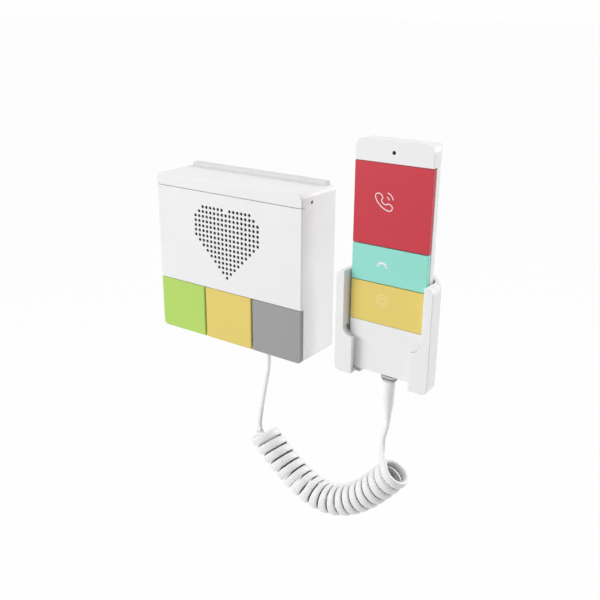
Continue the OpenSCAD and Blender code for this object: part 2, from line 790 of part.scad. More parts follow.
module hand_key(i, tint) {
    h = hand_key_h[i] - hand_key_gap;
    back = hand_key_back_y;
    groove_w = hand_rib_t + 2 * play;
    groove_d = hand_rib_overlap + hand_key_travel + stop_play;
    color(tint) translate([hx, 0, hand_key_mid(i)]) {
        difference() {
            block([-handset_w / 2, handset_front_y, -h / 2], [handset_w / 2, back, h / 2]);
            for (x = [-1, 1]) translate([x * hand_rib_x, 0, 0])
                block([-groove_w / 2, back - groove_d, -h], [groove_w / 2, back + eps, h]);
        }
        bar_y(0, 0, back - eps, hand_tip_y - back + eps, hand_plunger_d);
        for (x = [-1, 1]) bar_y(x * hand_guide_x, 0, back - eps, hand_deck_back_y - back + eps, hand_guide_d);
    }
}

module handset_button_red() { hand_key(0, "crimson"); }
module handset_button_cyan() { hand_key(1, "paleturquoise"); }
module handset_button_yellow() { hand_key(2, "khaki"); }

// Cord

function unit(v) = v / norm(v);
function curve(p, t) = pow(1 - t, 3) * p[0] + 3 * pow(1 - t, 2) * t * p[1] + 3 * (1 - t) * t * t * p[2]
    + pow(t, 3) * p[3];
function slope(p, t) = 3 * pow(1 - t, 2) * (p[1] - p[0]) + 6 * (1 - t) * t * (p[2] - p[1])
    + 3 * t * t * (p[3] - p[2]);
function second(p, t) = 6 * (1 - t) * (p[2] - 2 * p[1] + p[0]) + 6 * t * (p[3] - 2 * p[2] + p[1]);
function bend(p, t) = let (v = slope(p, t), a = second(p, t)) (v.x * a.z - v.z * a.x) / pow(norm(v), 3);

// Length along the coil's axis against its parameter, so that the turns are evenly spaced
steps = 200;
lengths = [for (i = 0, s = 0; i <= steps;
    s = s + norm(curve(coil_axis, (i + 1) / steps) - curve(coil_axis, i / steps)), i = i + 1) [s, i / steps]];
coil_l = lengths[steps][0];
function axis_t(u) = lookup(u * coil_l, lengths);
function inward(t) = let (a = unit(slope(coil_axis, t))) [-a.z, 0, a.x];
function turn_at(u) = curl_start + u * curl_turns * 360;
function curl(u) = let (t = axis_t(u), q = turn_at(u))
    curve(coil_axis, t) + curl_r * (cos(q) * inward(t) + [0, sin(q), 0]);
function heading(u) = let (d = 0.002) unit(curl(min(u + d, 1)) - curl(max(u - d, 0)));
// How much the coil's bend opens or closes its turns at one place
function opening(u) = 1 - bend(coil_axis, axis_t(u)) * curl_r * cos(turn_at(u));

function ring(p, t, across, half_w, half_t, sides) =
    let (w = unit(across - (across * t) * t), n = cross(t, w))
    [for (i = [0 : sides - 1]) p + half_w * cos(360 * i / sides) * w + half_t * sin(360 * i / sides) * n];

// One closed tube of triangles through its rings
module tube(rings, sides) {
    n = len(rings);
    polyhedron(
        points = [for (r = rings) each r],
        faces = [
            for (i = [0 : n - 2], j = [0 : sides - 1])
                let (a = i * sides + j, b = i * sides + (j + 1) % sides)
                each [[a, b + sides, b], [a, a + sides, b + sides]],
            for (j = [1 : sides - 2]) let (last = (n - 1) * sides)
                each [[0, j, j + 1], [last, last + j + 1, last + j]]
        ]);
}

// A ring of the coil at u, moved ahead along the cord
function coil_ring(u, ahead) = ring(curl(u) + ahead * heading(u), heading(u),
    unit(slope(coil_axis, axis_t(u))), cord_w / 2 * opening(u), cord_t / 2, 6);
coil_list = [
    coil_ring(0, -cord_t),
    for (i = [0 : coil_rings]) coil_ring(i / coil_rings, 0),
    coil_ring(1, cord_t)
];
least_gap = min([for (i = [0 : coil_rings - rings_per_curl - 1], j = [-1 : 1],
    a = coil_list[i], b = coil_list[i + rings_per_curl + j]) norm(a - b)]);
echo(least_gap_of_the_coil_to_itself = least_gap);

module cord_coil() {
    color("white") tube(coil_list, 6);
}

// A straight stretch of cord; its flat side turns from one direction to the other on the way
module cord_run(points, first, last, across_first, across_last) {
    n = len(points);
    tube([for (i = [0 : n - 1])
        let (t = i == 0 ? first : i == n - 1 ? last : unit(points[i + 1] - points[i - 1]))
        let (f = pow(i / (n - 1), 2))
        ring(points[i], t, (1 - f) * across_first + f * across_last, cord_w / 2, cord_t / 2, 8)], 8);
}

coil_first = curl(0) - cord_t * heading(0);
coil_last = curl(1) + cord_t * heading(1);

module cord_lead() {
    color("white") cord_run(concat([lead_top], lead_route, [coil_first]), [0, 0, -1], heading(0),
                            edge_on, unit(slope(coil_axis, 0)));
}

module cord_tail() {
    color("white") cord_run(concat([tail_top], tail_route, [coil_last]), [0, 0, -1], -heading(1),
                            edge_on, unit(slope(coil_axis, 1)));
}

wall_bracket();
rear_cover();
housing();
front_panel();
key_frame();
grille_cloth();
speaker_gasket();
speaker_basket();
speaker_cone();
speaker_magnet();
main_board();
key_switches();
network_jack();
terminal_block();
microphone();
microphone_boot();
cover_screws();
cord_grommet();
cradle();
cord_lead();
cord_coil();
cord_tail();
handset_front();
handset_rear();
handset_board();
handset_switches();
handset_microphone();
handset_screws();
cord_collar();
strain_relief();
button_green();
button_yellow();
button_grey();
handset_button_red();
handset_button_cyan();
handset_button_yellow();
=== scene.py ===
import math

import bmesh
import bpy
import numpy as np
from mathutils import Matrix, Vector


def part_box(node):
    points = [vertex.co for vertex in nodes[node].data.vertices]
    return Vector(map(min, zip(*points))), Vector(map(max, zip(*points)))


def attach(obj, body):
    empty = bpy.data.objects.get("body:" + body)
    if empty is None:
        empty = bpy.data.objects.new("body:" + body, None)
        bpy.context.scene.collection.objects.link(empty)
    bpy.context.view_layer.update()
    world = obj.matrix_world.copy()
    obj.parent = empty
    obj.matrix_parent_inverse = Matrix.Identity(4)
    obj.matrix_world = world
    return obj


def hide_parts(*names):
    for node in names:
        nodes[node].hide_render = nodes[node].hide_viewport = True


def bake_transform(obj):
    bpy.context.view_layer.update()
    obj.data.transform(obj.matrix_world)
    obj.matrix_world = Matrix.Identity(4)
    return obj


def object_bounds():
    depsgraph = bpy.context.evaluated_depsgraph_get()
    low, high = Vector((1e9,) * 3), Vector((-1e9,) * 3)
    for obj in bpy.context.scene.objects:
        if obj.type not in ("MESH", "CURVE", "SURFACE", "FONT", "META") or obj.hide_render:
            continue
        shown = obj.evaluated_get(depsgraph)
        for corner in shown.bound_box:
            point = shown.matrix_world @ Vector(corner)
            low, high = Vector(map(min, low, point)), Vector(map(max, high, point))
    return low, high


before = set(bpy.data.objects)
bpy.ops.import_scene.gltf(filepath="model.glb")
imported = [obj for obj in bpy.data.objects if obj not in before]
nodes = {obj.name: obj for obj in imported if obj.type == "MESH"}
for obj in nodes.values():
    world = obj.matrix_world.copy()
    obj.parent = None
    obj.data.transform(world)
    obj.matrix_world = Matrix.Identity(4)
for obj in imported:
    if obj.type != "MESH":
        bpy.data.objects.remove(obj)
cad_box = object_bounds()
scene = bpy.context.scene
MM = 0.001


# Camera, at the photograph's viewing angle, with its place in millimetres

CAMERA_PLACE = (327.68, -419.17, 161.67)
CAMERA_AHEAD = (-0.5393, 0.7675, -0.3466)
CAMERA_ROLL = math.radians(0.5)
CAMERA_LENS = 48.016
SENSOR_W = 36
CAMERA_NEAR = 0.01


def photo_camera():
    camera = bpy.data.cameras.new("photo_camera")
    camera.sensor_width = SENSOR_W
    camera.lens = CAMERA_LENS
    camera.clip_start = CAMERA_NEAR
    holder = bpy.data.objects.new("photo_camera", camera)
    holder.rotation_mode = "QUATERNION"
    holder.location = Vector(CAMERA_PLACE) * MM
    level = Vector(CAMERA_AHEAD).to_track_quat("-Z", "Y").to_matrix()
    holder.rotation_quaternion = (level @ Matrix.Rotation(CAMERA_ROLL, 3, "Z")).to_quaternion()
    scene.collection.objects.link(holder)
    scene.camera = holder


# Small helpers for meshes

X_AXIS = Vector((1, 0, 0))
Y_AXIS = Vector((0, 1, 0))
DOWN = Vector((0, 0, -1))
TURNED_MERGE = 1e-7


def mm(x, y, z):
    """A place in metres, from millimetres."""
    return Vector((x, y, z)) * MM


def new_piece(name, made):
    """A piece from a bmesh, which is freed."""
    mesh = bpy.data.meshes.new(name)
    made.to_mesh(mesh)
    made.free()
    piece = bpy.data.objects.new(name, mesh)
    scene.collection.objects.link(piece)
    return piece


def settle(piece):
    """Makes a piece's modifiers part of its mesh."""
    seen = piece.evaluated_get(bpy.context.evaluated_depsgraph_get())
    mesh = bpy.data.meshes.new_from_object(seen)
    piece.modifiers.clear()
    piece.data = mesh
    return piece


def smooth(piece, sharp=38):
    """Rounded edges shade smoothly, and flat faces stay flat."""
    piece.data.shade_smooth()
    piece.data.set_sharp_from_angle(angle=math.radians(sharp))
    even = piece.modifiers.new("even", "WEIGHTED_NORMAL")
    even.keep_sharp = True
    return settle(piece)


def dress(piece, body, slot, finish, *stands_for):
    """Gives a finished piece its body, its finish and the CAD nodes that it stands for."""
    piece.data.materials.clear()
    piece.data.materials.append(finish)
    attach(piece, body)
    if stands_for:
        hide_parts(*stands_for)
    return piece


def turned(outline, steps=32):
    """A closed shape turned about Z; its (radius, height) points in millimetres start and end on the axis."""
    made = bmesh.new()
    line = [made.verts.new(mm(r, 0, z)) for r, z in outline]
    edges = [made.edges.new(pair) for pair in zip(line, line[1:])]
    bmesh.ops.spin(made, geom=line + edges, cent=(0, 0, 0), axis=(0, 0, 1), angle=2 * math.pi,
                   steps=steps, use_merge=True)
    bmesh.ops.remove_doubles(made, verts=made.verts, dist=TURNED_MERGE)
    bmesh.ops.recalc_face_normals(made, faces=made.faces)
    return made


def quarter_turn(made, axis, turns=1):
    bmesh.ops.rotate(made, verts=made.verts, matrix=Matrix.Rotation(turns * math.pi / 2, 3, axis))
    return made


def ring(place, ahead, across, half_w, half_t, section):
    """Points of a section square to a route, with its wide side turned as near as may be to one direction."""
    wide = (across - across.dot(ahead) * ahead).normalized()
    thick = ahead.cross(wide)
    return [place + half_w * a * wide + half_t * b * thick for a, b in section]


def tube(made, rings, closed=False):
    """A tube through rings of points in millimetres, with flat ends or joined to itself."""
    loops = [[made.verts.new(p * MM) for p in points] for points in rings]
    pairs = list(zip(loops, loops[1:]))
    if closed:
        pairs.append((loops[-1], loops[0]))
    else:
        made.faces.new(list(reversed(loops[0])))
        made.faces.new(loops[-1])
    for one, two in pairs:
        for i in range(len(one)):
            j = (i + 1) % len(one)
            made.faces.new((one[i], one[j], two[j], two[i]))
    bmesh.ops.recalc_face_normals(made, faces=made.faces)


def box_mm(node):
    """A node's lowest and highest corners, in millimetres."""
    return [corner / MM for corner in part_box(node)]


# Cord: a straight lead, a curly stretch and a straight tail, in millimetres

CORD_W = 6
CORD_T = 3.2
CORD_SIDES = 20
CORD_POWER = 2.5
CURL_R = 9.4
CURL_START = 180
CURL_TURNS = 18.375
RINGS_PER_CURL = 44
AXIS = [Vector(p) for p in ((14, -16, -130), (59, -16, -175), (84, -16, -173), (121.5, -16, -121.5))]
AXIS_PARTS = 200
HEADING_STEP = 0.002
LEAD = [(20, -18, -61), (20, -18, -72), (18.5, -17.5, -80), (16.5, -17, -88), (13.5, -15.5, -98),
        (9.5, -13, -110), (6, -10, -119), (4, -8.8, -126), (4, -8.6, -131), (4.8, -9.4, -134.5)]
TAIL = [(111, -11.09, -90.3), (110.2, -11.6, -96.5), (108.9, -12.1, -103), (109.2, -13, -108.5),
        (110.8, -16, -112.8)]
CORD_SHARP = 60
# The straight stretches turn their wide side this way, so that the camera sees them edge on
EDGE_ON = Vector((0.575, -0.818, 0))


def axis_point(t):
    """A place on the curve that the curls go round."""
    a, b, c, d = AXIS
    return (1 - t) ** 3 * a + 3 * (1 - t) ** 2 * t * b + 3 * (1 - t) * t * t * c + t ** 3 * d


def axis_slope(t):
    a, b, c, d = AXIS
    return 3 * (1 - t) ** 2 * (b - a) + 6 * (1 - t) * t * (c - b) + 3 * t * t * (d - c)


def axis_bend(t):
    a, b, c, d = AXIS
    v = axis_slope(t)
    w = 6 * (1 - t) * (c - 2 * b + a) + 6 * t * (d - 2 * c + b)
    return (v.x * w.z - v.z * w.x) / v.length ** 3


AXIS_STEPS = [i / AXIS_PARTS for i in range(AXIS_PARTS + 1)]
AXIS_LENGTHS = np.concatenate([[0], np.cumsum([
    (axis_point(b) - axis_point(a)).length for a, b in zip(AXIS_STEPS, AXIS_STEPS[1:])])])


def axis_t(u):
    """The curve's own parameter at a share of its length."""
    return float(np.interp(u * AXIS_LENGTHS[-1], AXIS_LENGTHS, AXIS_STEPS))


def turn_at(u):
    return math.radians(CURL_START + u * CURL_TURNS * 360)


def curl(u):
    """A place on the middle line of the curls, at a share of their length."""
    t = axis_t(u)
    along = axis_slope(t).normalized()
    inward = Vector((-along.z, 0, along.x))
    return axis_point(t) + CURL_R * (math.cos(turn_at(u)) * inward + math.sin(turn_at(u)) * Y_AXIS)


def heading(u):
    return (curl(min(u + HEADING_STEP, 1)) - curl(max(u - HEADING_STEP, 0))).normalized()


def opening(u):
    """How much the coil's bend opens or closes its turns at one place."""
    return 1 - axis_bend(axis_t(u)) * CURL_R * math.cos(turn_at(u))


def smooth_route(points, first, last, steps=6):
    """Places and directions along a smooth curve through given points."""
    points = [Vector(p) for p in points]
    spans = [(b - a).length for a, b in zip(points, points[1:])]
    inner = [(points[i + 1] - points[i - 1]).normalized() for i in range(1, len(points) - 1)]
    slopes = [first, *inner, last]
    found = []
    for i, span in enumerate(spans):
        ends = (points[i], span * slopes[i], points[i + 1], span * slopes[i + 1])
        for k in range(steps):
            s = k / steps
            shares = (2 * s ** 3 - 3 * s ** 2 + 1, s ** 3 - 2 * s ** 2 + s,
                      -2 * s ** 3 + 3 * s ** 2, s ** 3 - s ** 2)
            rates = (6 * s ** 2 - 6 * s, 3 * s ** 2 - 4 * s + 1, -6 * s ** 2 + 6 * s, 3 * s ** 2 - 2 * s)
            place = sum((share * end for share, end in zip(shares, ends)), Vector())
            ahead = sum((rate * end for rate, end in zip(rates, ends)), Vector())
            found.append((place, ahead.normalized()))
    return found + [(points[-1], last)]


def straight_rings(points, first, last, across_last, open_last):
    """Rings of a straight stretch; its flat side turns from edge on to the coil's own direction."""
    route = smooth_route(points, first, last)
    rings = []
    for i, (place, ahead) in enumerate(route):
        f = (i / (len(route) - 1)) ** 2
        rings.append((place, ahead, (1 - f) * EDGE_ON + f * across_last, 1 + f * (open_last - 1)))
    return rings


def cord_rings():
    """Place, heading, wide direction and width of every ring, from the lead through the curls to the tail."""
    count = round(CURL_TURNS * RINGS_PER_CURL)
    coil = []
    for i in range(count + 1):
        u = i / count
        coil.append((curl(u), heading(u), axis_slope(axis_t(u)).normalized(), opening(u)))
    first = curl(0) - CORD_T * heading(0)
    last = curl(1) + CORD_T * heading(1)
    lead = straight_rings([*LEAD, first], DOWN, heading(0), coil[0][2], coil[0][3])
    tail = straight_rings([*TAIL, last], DOWN, -heading(1), coil[-1][2], coil[-1][3])
    back = [(p, -t, across, wide) for p, t, across, wide in reversed(tail)]
    return lead + coil + back


def oval(sides, power):
    """Points round a section: an ellipse at a power of 2, and squarer above it."""
    found = []
    for i in range(sides):
        c, s = math.cos(2 * math.pi * i / sides), math.sin(2 * math.pi * i / sides)
        found.append((math.copysign(abs(c) ** (2 / power), c), math.copysign(abs(s) ** (2 / power), s)))
    return found


def curly_cord(finish):
    made = bmesh.new()
    section = oval(CORD_SIDES, CORD_POWER)
    route = cord_rings()
    tube(made, [ring(place, ahead, across, CORD_W / 2 * wide, CORD_T / 2, section)
                for place, ahead, across, wide in route])
    cord = smooth(new_piece("curly_cord", made), CORD_SHARP)
    cord.data.materials.append(finish)
    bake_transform(cord)
    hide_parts("cord_lead", "cord_coil", "cord_tail")


# Small helpers for node trees

def add(tree, kind, inputs=None, **settings):
    """A node with its settings, and with its inputs set to values or joined to sockets."""
    made = tree.nodes.new(kind)
    for key, value in settings.items():
        setattr(made, key, value)
    for key, value in (inputs or {}).items():
        if isinstance(value, bpy.types.NodeSocket):
            tree.links.new(value, made.inputs[key])
        else:
            made.inputs[key].default_value = value
    return made


def sums(tree, operation, a, b=0.0):
    return add(tree, "ShaderNodeMath", {0: a, 1: b}, operation=operation).outputs[0]


SOCKETS = {"value": "NodeSocketFloat", "place": "NodeSocketVector", "shape": "NodeSocketGeometry",
           "count": "NodeSocketInt", "object": "NodeSocketObject", "finish": "NodeSocketMaterial"}


def new_tree(name, kind, inputs, outputs):
    """An empty node group with named inputs and outputs."""
    tree = bpy.data.node_groups.new(name, kind)
    for label, socket in inputs.items():
        tree.interface.new_socket(name=label, in_out="INPUT", socket_type=SOCKETS[socket])
    for label, socket in outputs.items():
        tree.interface.new_socket(name=label, in_out="OUTPUT", socket_type=SOCKETS[socket])
    return tree, tree.nodes.new("NodeGroupInput").outputs, tree.nodes.new("NodeGroupOutput")


# Effects that several finishes share

def grain_group():
    """Spark-eroded mould grain, and slow mottling of the colour and gloss."""
    tree, given, out = new_tree("moulded_grain", "ShaderNodeTree", {"Place": "place", "Grain": "value"},
                                {"Height": "value", "Mottle": "value"})
    fine = add(tree, "ShaderNodeVectorMath", {0: given["Place"], "Scale": given["Grain"]}, operation="SCALE")
    pits = add(tree, "ShaderNodeTexVoronoi", {"Vector": fine.outputs[0], "Scale": 1.0}, feature="SMOOTH_F1")
    fuzz = add(tree, "ShaderNodeTexNoise", {"Vector": fine.outputs[0], "Scale": 0.7, "Detail": 4.0})
    slow = add(tree, "ShaderNodeTexNoise", {"Vector": given["Place"], "Scale": 45.0, "Detail": 3.0})
    height = sums(tree, "ADD", sums(tree, "MULTIPLY", pits.outputs["Distance"], 0.6), fuzz.outputs["Fac"])
    tree.links.new(height, out.inputs["Height"])
    tree.links.new(slow.outputs["Fac"], out.inputs["Mottle"])
    return tree


def handling_group():
    """Faint smudges and rub marks left by hands and cloths."""
    tree, given, out = new_tree("handling_marks", "ShaderNodeTree", {"Place": "place", "Spread": "value"},
                                {"Smudge": "value"})
    where = add(tree, "ShaderNodeVectorMath", {0: given["Place"], "Scale": given["Spread"]},
                operation="SCALE")
    cloud = add(tree, "ShaderNodeTexNoise",
                {"Vector": where.outputs[0], "Scale": 1.0, "Detail": 6.0, "Distortion": 0.8})
    mask = add(tree, "ShaderNodeMapRange",
               {"Value": cloud.outputs["Fac"], "From Min": 0.48, "From Max": 0.72},
               interpolation_type="SMOOTHSTEP")
    tree.links.new(mask.outputs[0], out.inputs["Smudge"])
    return tree


def streak_group():
    """Rolling lines of sheet metal along X, with a cloudy plating."""
    tree, given, out = new_tree("rolled_metal", "ShaderNodeTree", {"Place": "place", "Fineness": "value"},
                                {"Height": "value", "Cloud": "value"})
    long = add(tree, "ShaderNodeMapping", {"Vector": given["Place"], "Scale": (0.03, 1.0, 1.0)})
    fine = add(tree, "ShaderNodeVectorMath", {0: long.outputs[0], "Scale": given["Fineness"]},
               operation="SCALE")
    lines = add(tree, "ShaderNodeTexNoise", {"Vector": fine.outputs[0], "Scale": 1.0, "Detail": 5.0})
    cloud = add(tree, "ShaderNodeTexVoronoi", {"Vector": given["Place"], "Scale": 160.0})
    tree.links.new(lines.outputs["Fac"], out.inputs["Height"])
    tree.links.new(cloud.outputs["Distance"], out.inputs["Cloud"])
    return tree


GRAIN = grain_group()
HANDLING = handling_group()
STREAKS = streak_group()


# Finishes, with the size and depth of their grain in millimetres

GLOSS_SPREAD = 0.05
SMUDGE_SPREAD = 55.0
SMUDGE_GLOSS = 0.08
JACKET_MOTTLE = 0.015
JACKET_ROUGH = 0.43
METAL_TINTS = (1.08, 0.9)
METAL_GLOSS = (-0.08, 0.1)
WEAVE_TINTS = (0.5, 1.5)
WEAVE_DEPTH = 0.06
TRACK_DEPTH = 0.03
# Waves in a metre that the wave texture draws at a scale of 1
WAVES_PER_UNIT = 3.14


def linear(tone):
    """A display tone from 0 to 255 as linear light."""
    t = tone / 255
    return t / 12.92 if t <= 0.04045 else ((t + 0.055) / 1.055) ** 2.4


def colour(red, green, blue, scale=1.0):
    """Display tones as a colour in linear light, made lighter or darker by a scale."""
    return (*(min(linear(c) * scale, 1.0) for c in (red, green, blue)), 1.0)


def blank(name):
    """A material with its shader, and the place on the piece."""
    finish = bpy.data.materials.new(name)
    finish.use_nodes = True
    tree = finish.node_tree
    return finish, tree, tree.nodes["Principled BSDF"], add(tree, "ShaderNodeTexCoord").outputs["Object"]


def blend_colour(tree, factor, one, two):
    mixed = add(tree, "ShaderNodeMix", {0: factor, 6: one, 7: two}, data_type="RGBA")
    return mixed.outputs[2]


def spread(tree, value, low, high):
    return add(tree, "ShaderNodeMapRange", {"Value": value, "To Min": low, "To Max": high}).outputs[0]


def bump(tree, shader, height, depth):
    raised = add(tree, "ShaderNodeBump", {"Height": height, "Strength": 1.0, "Distance": depth})
    tree.links.new(raised.outputs[0], shader.inputs["Normal"])


def moulded(name, tones, rough=0.42, grain=0.35, depth=0.006, mottle=0.02, specular=0.4):
    """Moulded plastic, with grain, slow mottling and smudges in its gloss."""
    finish, tree, shader, place = blank(name)
    texture = add(tree, "ShaderNodeGroup", {"Place": place, "Grain": 1 / (grain * MM)}, node_tree=GRAIN)
    marks = add(tree, "ShaderNodeGroup", {"Place": place, "Spread": SMUDGE_SPREAD}, node_tree=HANDLING)
    tint = blend_colour(tree, texture.outputs["Mottle"], colour(*tones, 1 - mottle),
                        colour(*tones, 1 + mottle))
    dull = spread(tree, texture.outputs["Mottle"], rough - GLOSS_SPREAD, rough + GLOSS_SPREAD)
    gloss = sums(tree, "SUBTRACT", dull, sums(tree, "MULTIPLY", marks.outputs["Smudge"], SMUDGE_GLOSS))
    tree.links.new(tint, shader.inputs["Base Color"])
    tree.links.new(gloss, shader.inputs["Roughness"])
    shader.inputs["Specular IOR Level"].default_value = specular
    bump(tree, shader, texture.outputs["Height"], depth * MM)
    return finish


def jacket(name, tones, shade_tone, reach=20.0, grain=1.5, depth=0.003):
    """Soft cord jacket, with painted shade towards a dark tone where the curls close on themselves, by
    ambient occlusion of the cord on itself.
    """
    finish, tree, shader, place = blank(name)
    texture = add(tree, "ShaderNodeGroup", {"Place": place, "Grain": 1 / (grain * MM)}, node_tree=GRAIN)
    unshaded_tint = blend_colour(tree, texture.outputs["Mottle"], colour(*tones, 1 - JACKET_MOTTLE),
                         colour(*tones, 1 + JACKET_MOTTLE))
    # Painted shade: ambient occlusion of the cord on itself darkens the colour inside and between the curls.
    around = add(tree, "ShaderNodeAmbientOcclusion", {"Distance": reach * MM}, samples=8, only_local=True)
    painted_shade_mask = add(tree, "ShaderNodeMapRange",
               {"Value": around.outputs["AO"], "From Min": 0.55, "From Max": 0.1},
               interpolation_type="SMOOTHSTEP")
    dull = spread(tree, texture.outputs["Mottle"], JACKET_ROUGH - GLOSS_SPREAD, JACKET_ROUGH + GLOSS_SPREAD)
    tree.links.new(blend_colour(tree, painted_shade_mask.outputs[0], unshaded_tint, colour(*shade_tone)), shader.inputs["Base Color"])
    tree.links.new(dull, shader.inputs["Roughness"])
    shader.inputs["Specular IOR Level"].default_value = 0.4
    bump(tree, shader, texture.outputs["Height"], depth * MM)
    return finish


def metal(name, tones, rough=0.35, fineness=2200.0, depth=0.004):
    """Rolled or drawn metal with fine lines and a cloudy plating."""
    finish, tree, shader, place = blank(name)
    lines = add(tree, "ShaderNodeGroup", {"Place": place, "Fineness": fineness}, node_tree=STREAKS)
    tint = blend_colour(tree, lines.outputs["Cloud"], *(colour(*tones, scale) for scale in METAL_TINTS))
    dull = spread(tree, lines.outputs["Height"], *(rough + change for change in METAL_GLOSS))
    tree.links.new(tint, shader.inputs["Base Color"])
    tree.links.new(dull, shader.inputs["Roughness"])
    shader.inputs["Metallic"].default_value = 1.0
    bump(tree, shader, lines.outputs["Height"], depth * MM)
    return finish


def woven_cloth(name, tones, thread=0.35):
    """Plain-woven acoustic cloth behind the grille."""
    finish, tree, shader, place = blank(name)
    count = 1 / (2 * thread * MM) / WAVES_PER_UNIT
    weft = add(tree, "ShaderNodeTexWave", {"Vector": place, "Scale": count}, bands_direction="X")
    warp = add(tree, "ShaderNodeTexWave", {"Vector": place, "Scale": count}, bands_direction="Z")
    weave = sums(tree, "MULTIPLY", weft.outputs["Fac"], warp.outputs["Fac"])
    tint = blend_colour(tree, weave, *(colour(*tones, scale) for scale in WEAVE_TINTS))
    tree.links.new(tint, shader.inputs["Base Color"])
    shader.inputs["Roughness"].default_value = 0.95
    shader.inputs["Specular IOR Level"].default_value = 0.1
    bump(tree, shader, weave, WEAVE_DEPTH * MM)
    return finish


def circuit_board(name, mask, copper):
    """Solder mask over copper tracks."""
    finish, tree, shader, place = blank(name)
    flat = add(tree, "ShaderNodeMapping", {"Vector": place, "Rotation": (math.pi / 2, 0, 0)})
    tracks = add(tree, "ShaderNodeTexBrick",
                 {"Vector": flat.outputs[0], "Scale": 190.0, "Mortar Size": 0.05, "Color1": (0, 0, 0, 1),
                  "Color2": (0.15, 0.15, 0.15, 1), "Mortar": (1, 1, 1, 1)})
    tint = blend_colour(tree, tracks.outputs["Color"], colour(*mask), colour(*copper))
    tree.links.new(tint, shader.inputs["Base Color"])
    shader.inputs["Roughness"].default_value = 0.3
    bump(tree, shader, tracks.outputs["Fac"], TRACK_DEPTH * MM)
    return finish


FINISHES = {
    "casing_white": moulded("casing_white", (238, 238, 239), 0.44),
    "cover_grey": moulded("cover_grey", (216, 217, 218), 0.5),
    # Painted shade: the key frame is dark so that the gaps between the keys read as shade.
    "frame_dark": moulded("frame_dark", (62, 62, 64), 0.5),
    "grille_black": woven_cloth("grille_black", (44, 44, 46)),
    "rubber_black": moulded("rubber_black", (52, 52, 52), 0.75, 0.2, 0.01),
    "speaker_metal": metal("speaker_metal", (90, 90, 94), 0.4),
    "cone_black": moulded("cone_black", (54, 54, 55), 0.6, 0.3, 0.01),
    "magnet_iron": moulded("magnet_iron", (86, 86, 89), 0.7, 0.25, 0.02),
    "board_green": circuit_board("board_green", (30, 110, 62), (60, 150, 84)),
    "switch_grey": moulded("switch_grey", (92, 92, 95), 0.5),
    "steel": metal("steel", (205, 207, 209), 0.34),
    "terminal_green": moulded("terminal_green", (52, 150, 96), 0.45),
    "capsule_metal": moulded("capsule_metal", (40, 40, 42), 0.85, 0.12, 0.02),
    # The cord's second tone is the painted shade inside and between its curls.
    "cord_white": jacket("cord_white", (240, 240, 241), (104, 103, 104)),
    "collar_grey": moulded("collar_grey", (198, 198, 199), 0.45),
    "key_green": moulded("key_green", (180, 216, 101), 0.4),
    "key_yellow": moulded("key_yellow", (229, 206, 110), 0.4),
    "key_grey": moulded("key_grey", (156, 156, 157), 0.4),
    "key_red": moulded("key_red", (199, 52, 66), 0.4),
    "key_cyan": moulded("key_cyan", (148, 223, 208), 0.4),
    "mark_white": moulded("mark_white", (246, 246, 246), 0.4, depth=0.001),
    "mark_cream": moulded("mark_cream", (243, 226, 160), 0.4, depth=0.001),
}


# Shells: the CAD solids with their outer edges rounded, by radii in millimetres

COPY_MERGE = 1e-6
COPY_FLAT = math.radians(0.4)
BEVEL_FLAT = math.radians(2)
BOX_SLACK = 0.02
CORNER_REACH = 5
OUTLINE_ROUND = 0.8
SEAM_ROUND = 0.3
ROUND_SLACK = 0.05
BOX_ROUNDS = {"housing": 0.18, "rear_cover": 0.25, "wall_bracket": 0.2, "cradle": 0.5,
              "handset_front": 0.3, "handset_rear": 0.2}
GROMMET_ROUND = 0.25
SMALL_KEY_ROUND = 0.25


def clean_copy(node):
    """A CAD node's surface, closed, with whole flat faces."""
    made = bmesh.new()
    made.from_mesh(nodes[node].data)
    bmesh.ops.remove_doubles(made, verts=made.verts, dist=COPY_MERGE)
    bmesh.ops.dissolve_limit(made, angle_limit=COPY_FLAT, verts=made.verts, edges=made.edges)
    return made


def sharp_edges(made, least=35):
    return [e for e in made.edges if len(e.link_faces) == 2 and e.calc_face_angle(0) > math.radians(least)]


def round_edges(made, chosen, width, segments=3):
    """Rounds the sharp edges that are chosen by their two ends."""
    edges = [e for e in sharp_edges(made) if chosen(*(v.co / MM for v in e.verts))]
    bmesh.ops.bevel(made, geom=edges, offset=width * MM, segments=segments, profile=0.5, affect="EDGES",
                    clamp_overlap=False)
    bmesh.ops.connect_verts_nonplanar(made, angle_limit=BEVEL_FLAT,
                                      faces=[f for f in made.faces if len(f.verts) > 4])


def on_box(node, slack=BOX_SLACK):
    """Tells whether an edge lies on the outside of a node's box."""
    low, high = box_mm(node)

    def outside(a, b):
        for i in range(3):
            for face in (low[i], high[i]):
                if abs(a[i] - face) < slack and abs(b[i] - face) < slack:
                    return True
        return False
    return outside


def near_front(node, depth=BOX_SLACK):
    """Tells whether an edge lies on a node's front face, or no deeper than some depth."""
    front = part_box(node)[0].y / MM
    return lambda a, b: max(a.y, b.y) < front + depth


def every_edge(a, b):
    return True


def on_outline(node):
    """Tells whether an edge of a node's front face follows the main unit's own outline."""
    front = near_front(node)
    corner = box_mm("housing")[1] - Vector((CORNER_REACH, 0, CORNER_REACH))

    def outside(a, b):
        sides = min(abs(a.x), abs(b.x)) > corner.x and a.x * b.x > 0
        ends = min(abs(a.z), abs(b.z)) > corner.z
        return front(a, b) and (sides or ends)
    return outside


def box_round(node):
    """A small round on the outer edges of a node's box."""
    return on_box(node), BOX_ROUNDS[node]


def seam_round(node):
    """A crisp edge along the seams, where no softer round has taken it."""
    return near_front(node, OUTLINE_ROUND + ROUND_SLACK), SEAM_ROUND


def front_rounds(node):
    """A soft outline, and crisp edges along the seams."""
    return (on_outline(node), OUTLINE_ROUND), seam_round(node)


def key_rounds(node):
    """Soft edges all round a wide key, apart from its crisp top along the seam."""
    front = near_front(node)
    below_top = box_mm(node)[1].z - OUTLINE_ROUND

    def soft(a, b):
        return front(a, b) and min(a.z, b.z) < below_top
    return (soft, OUTLINE_ROUND), seam_round(node)


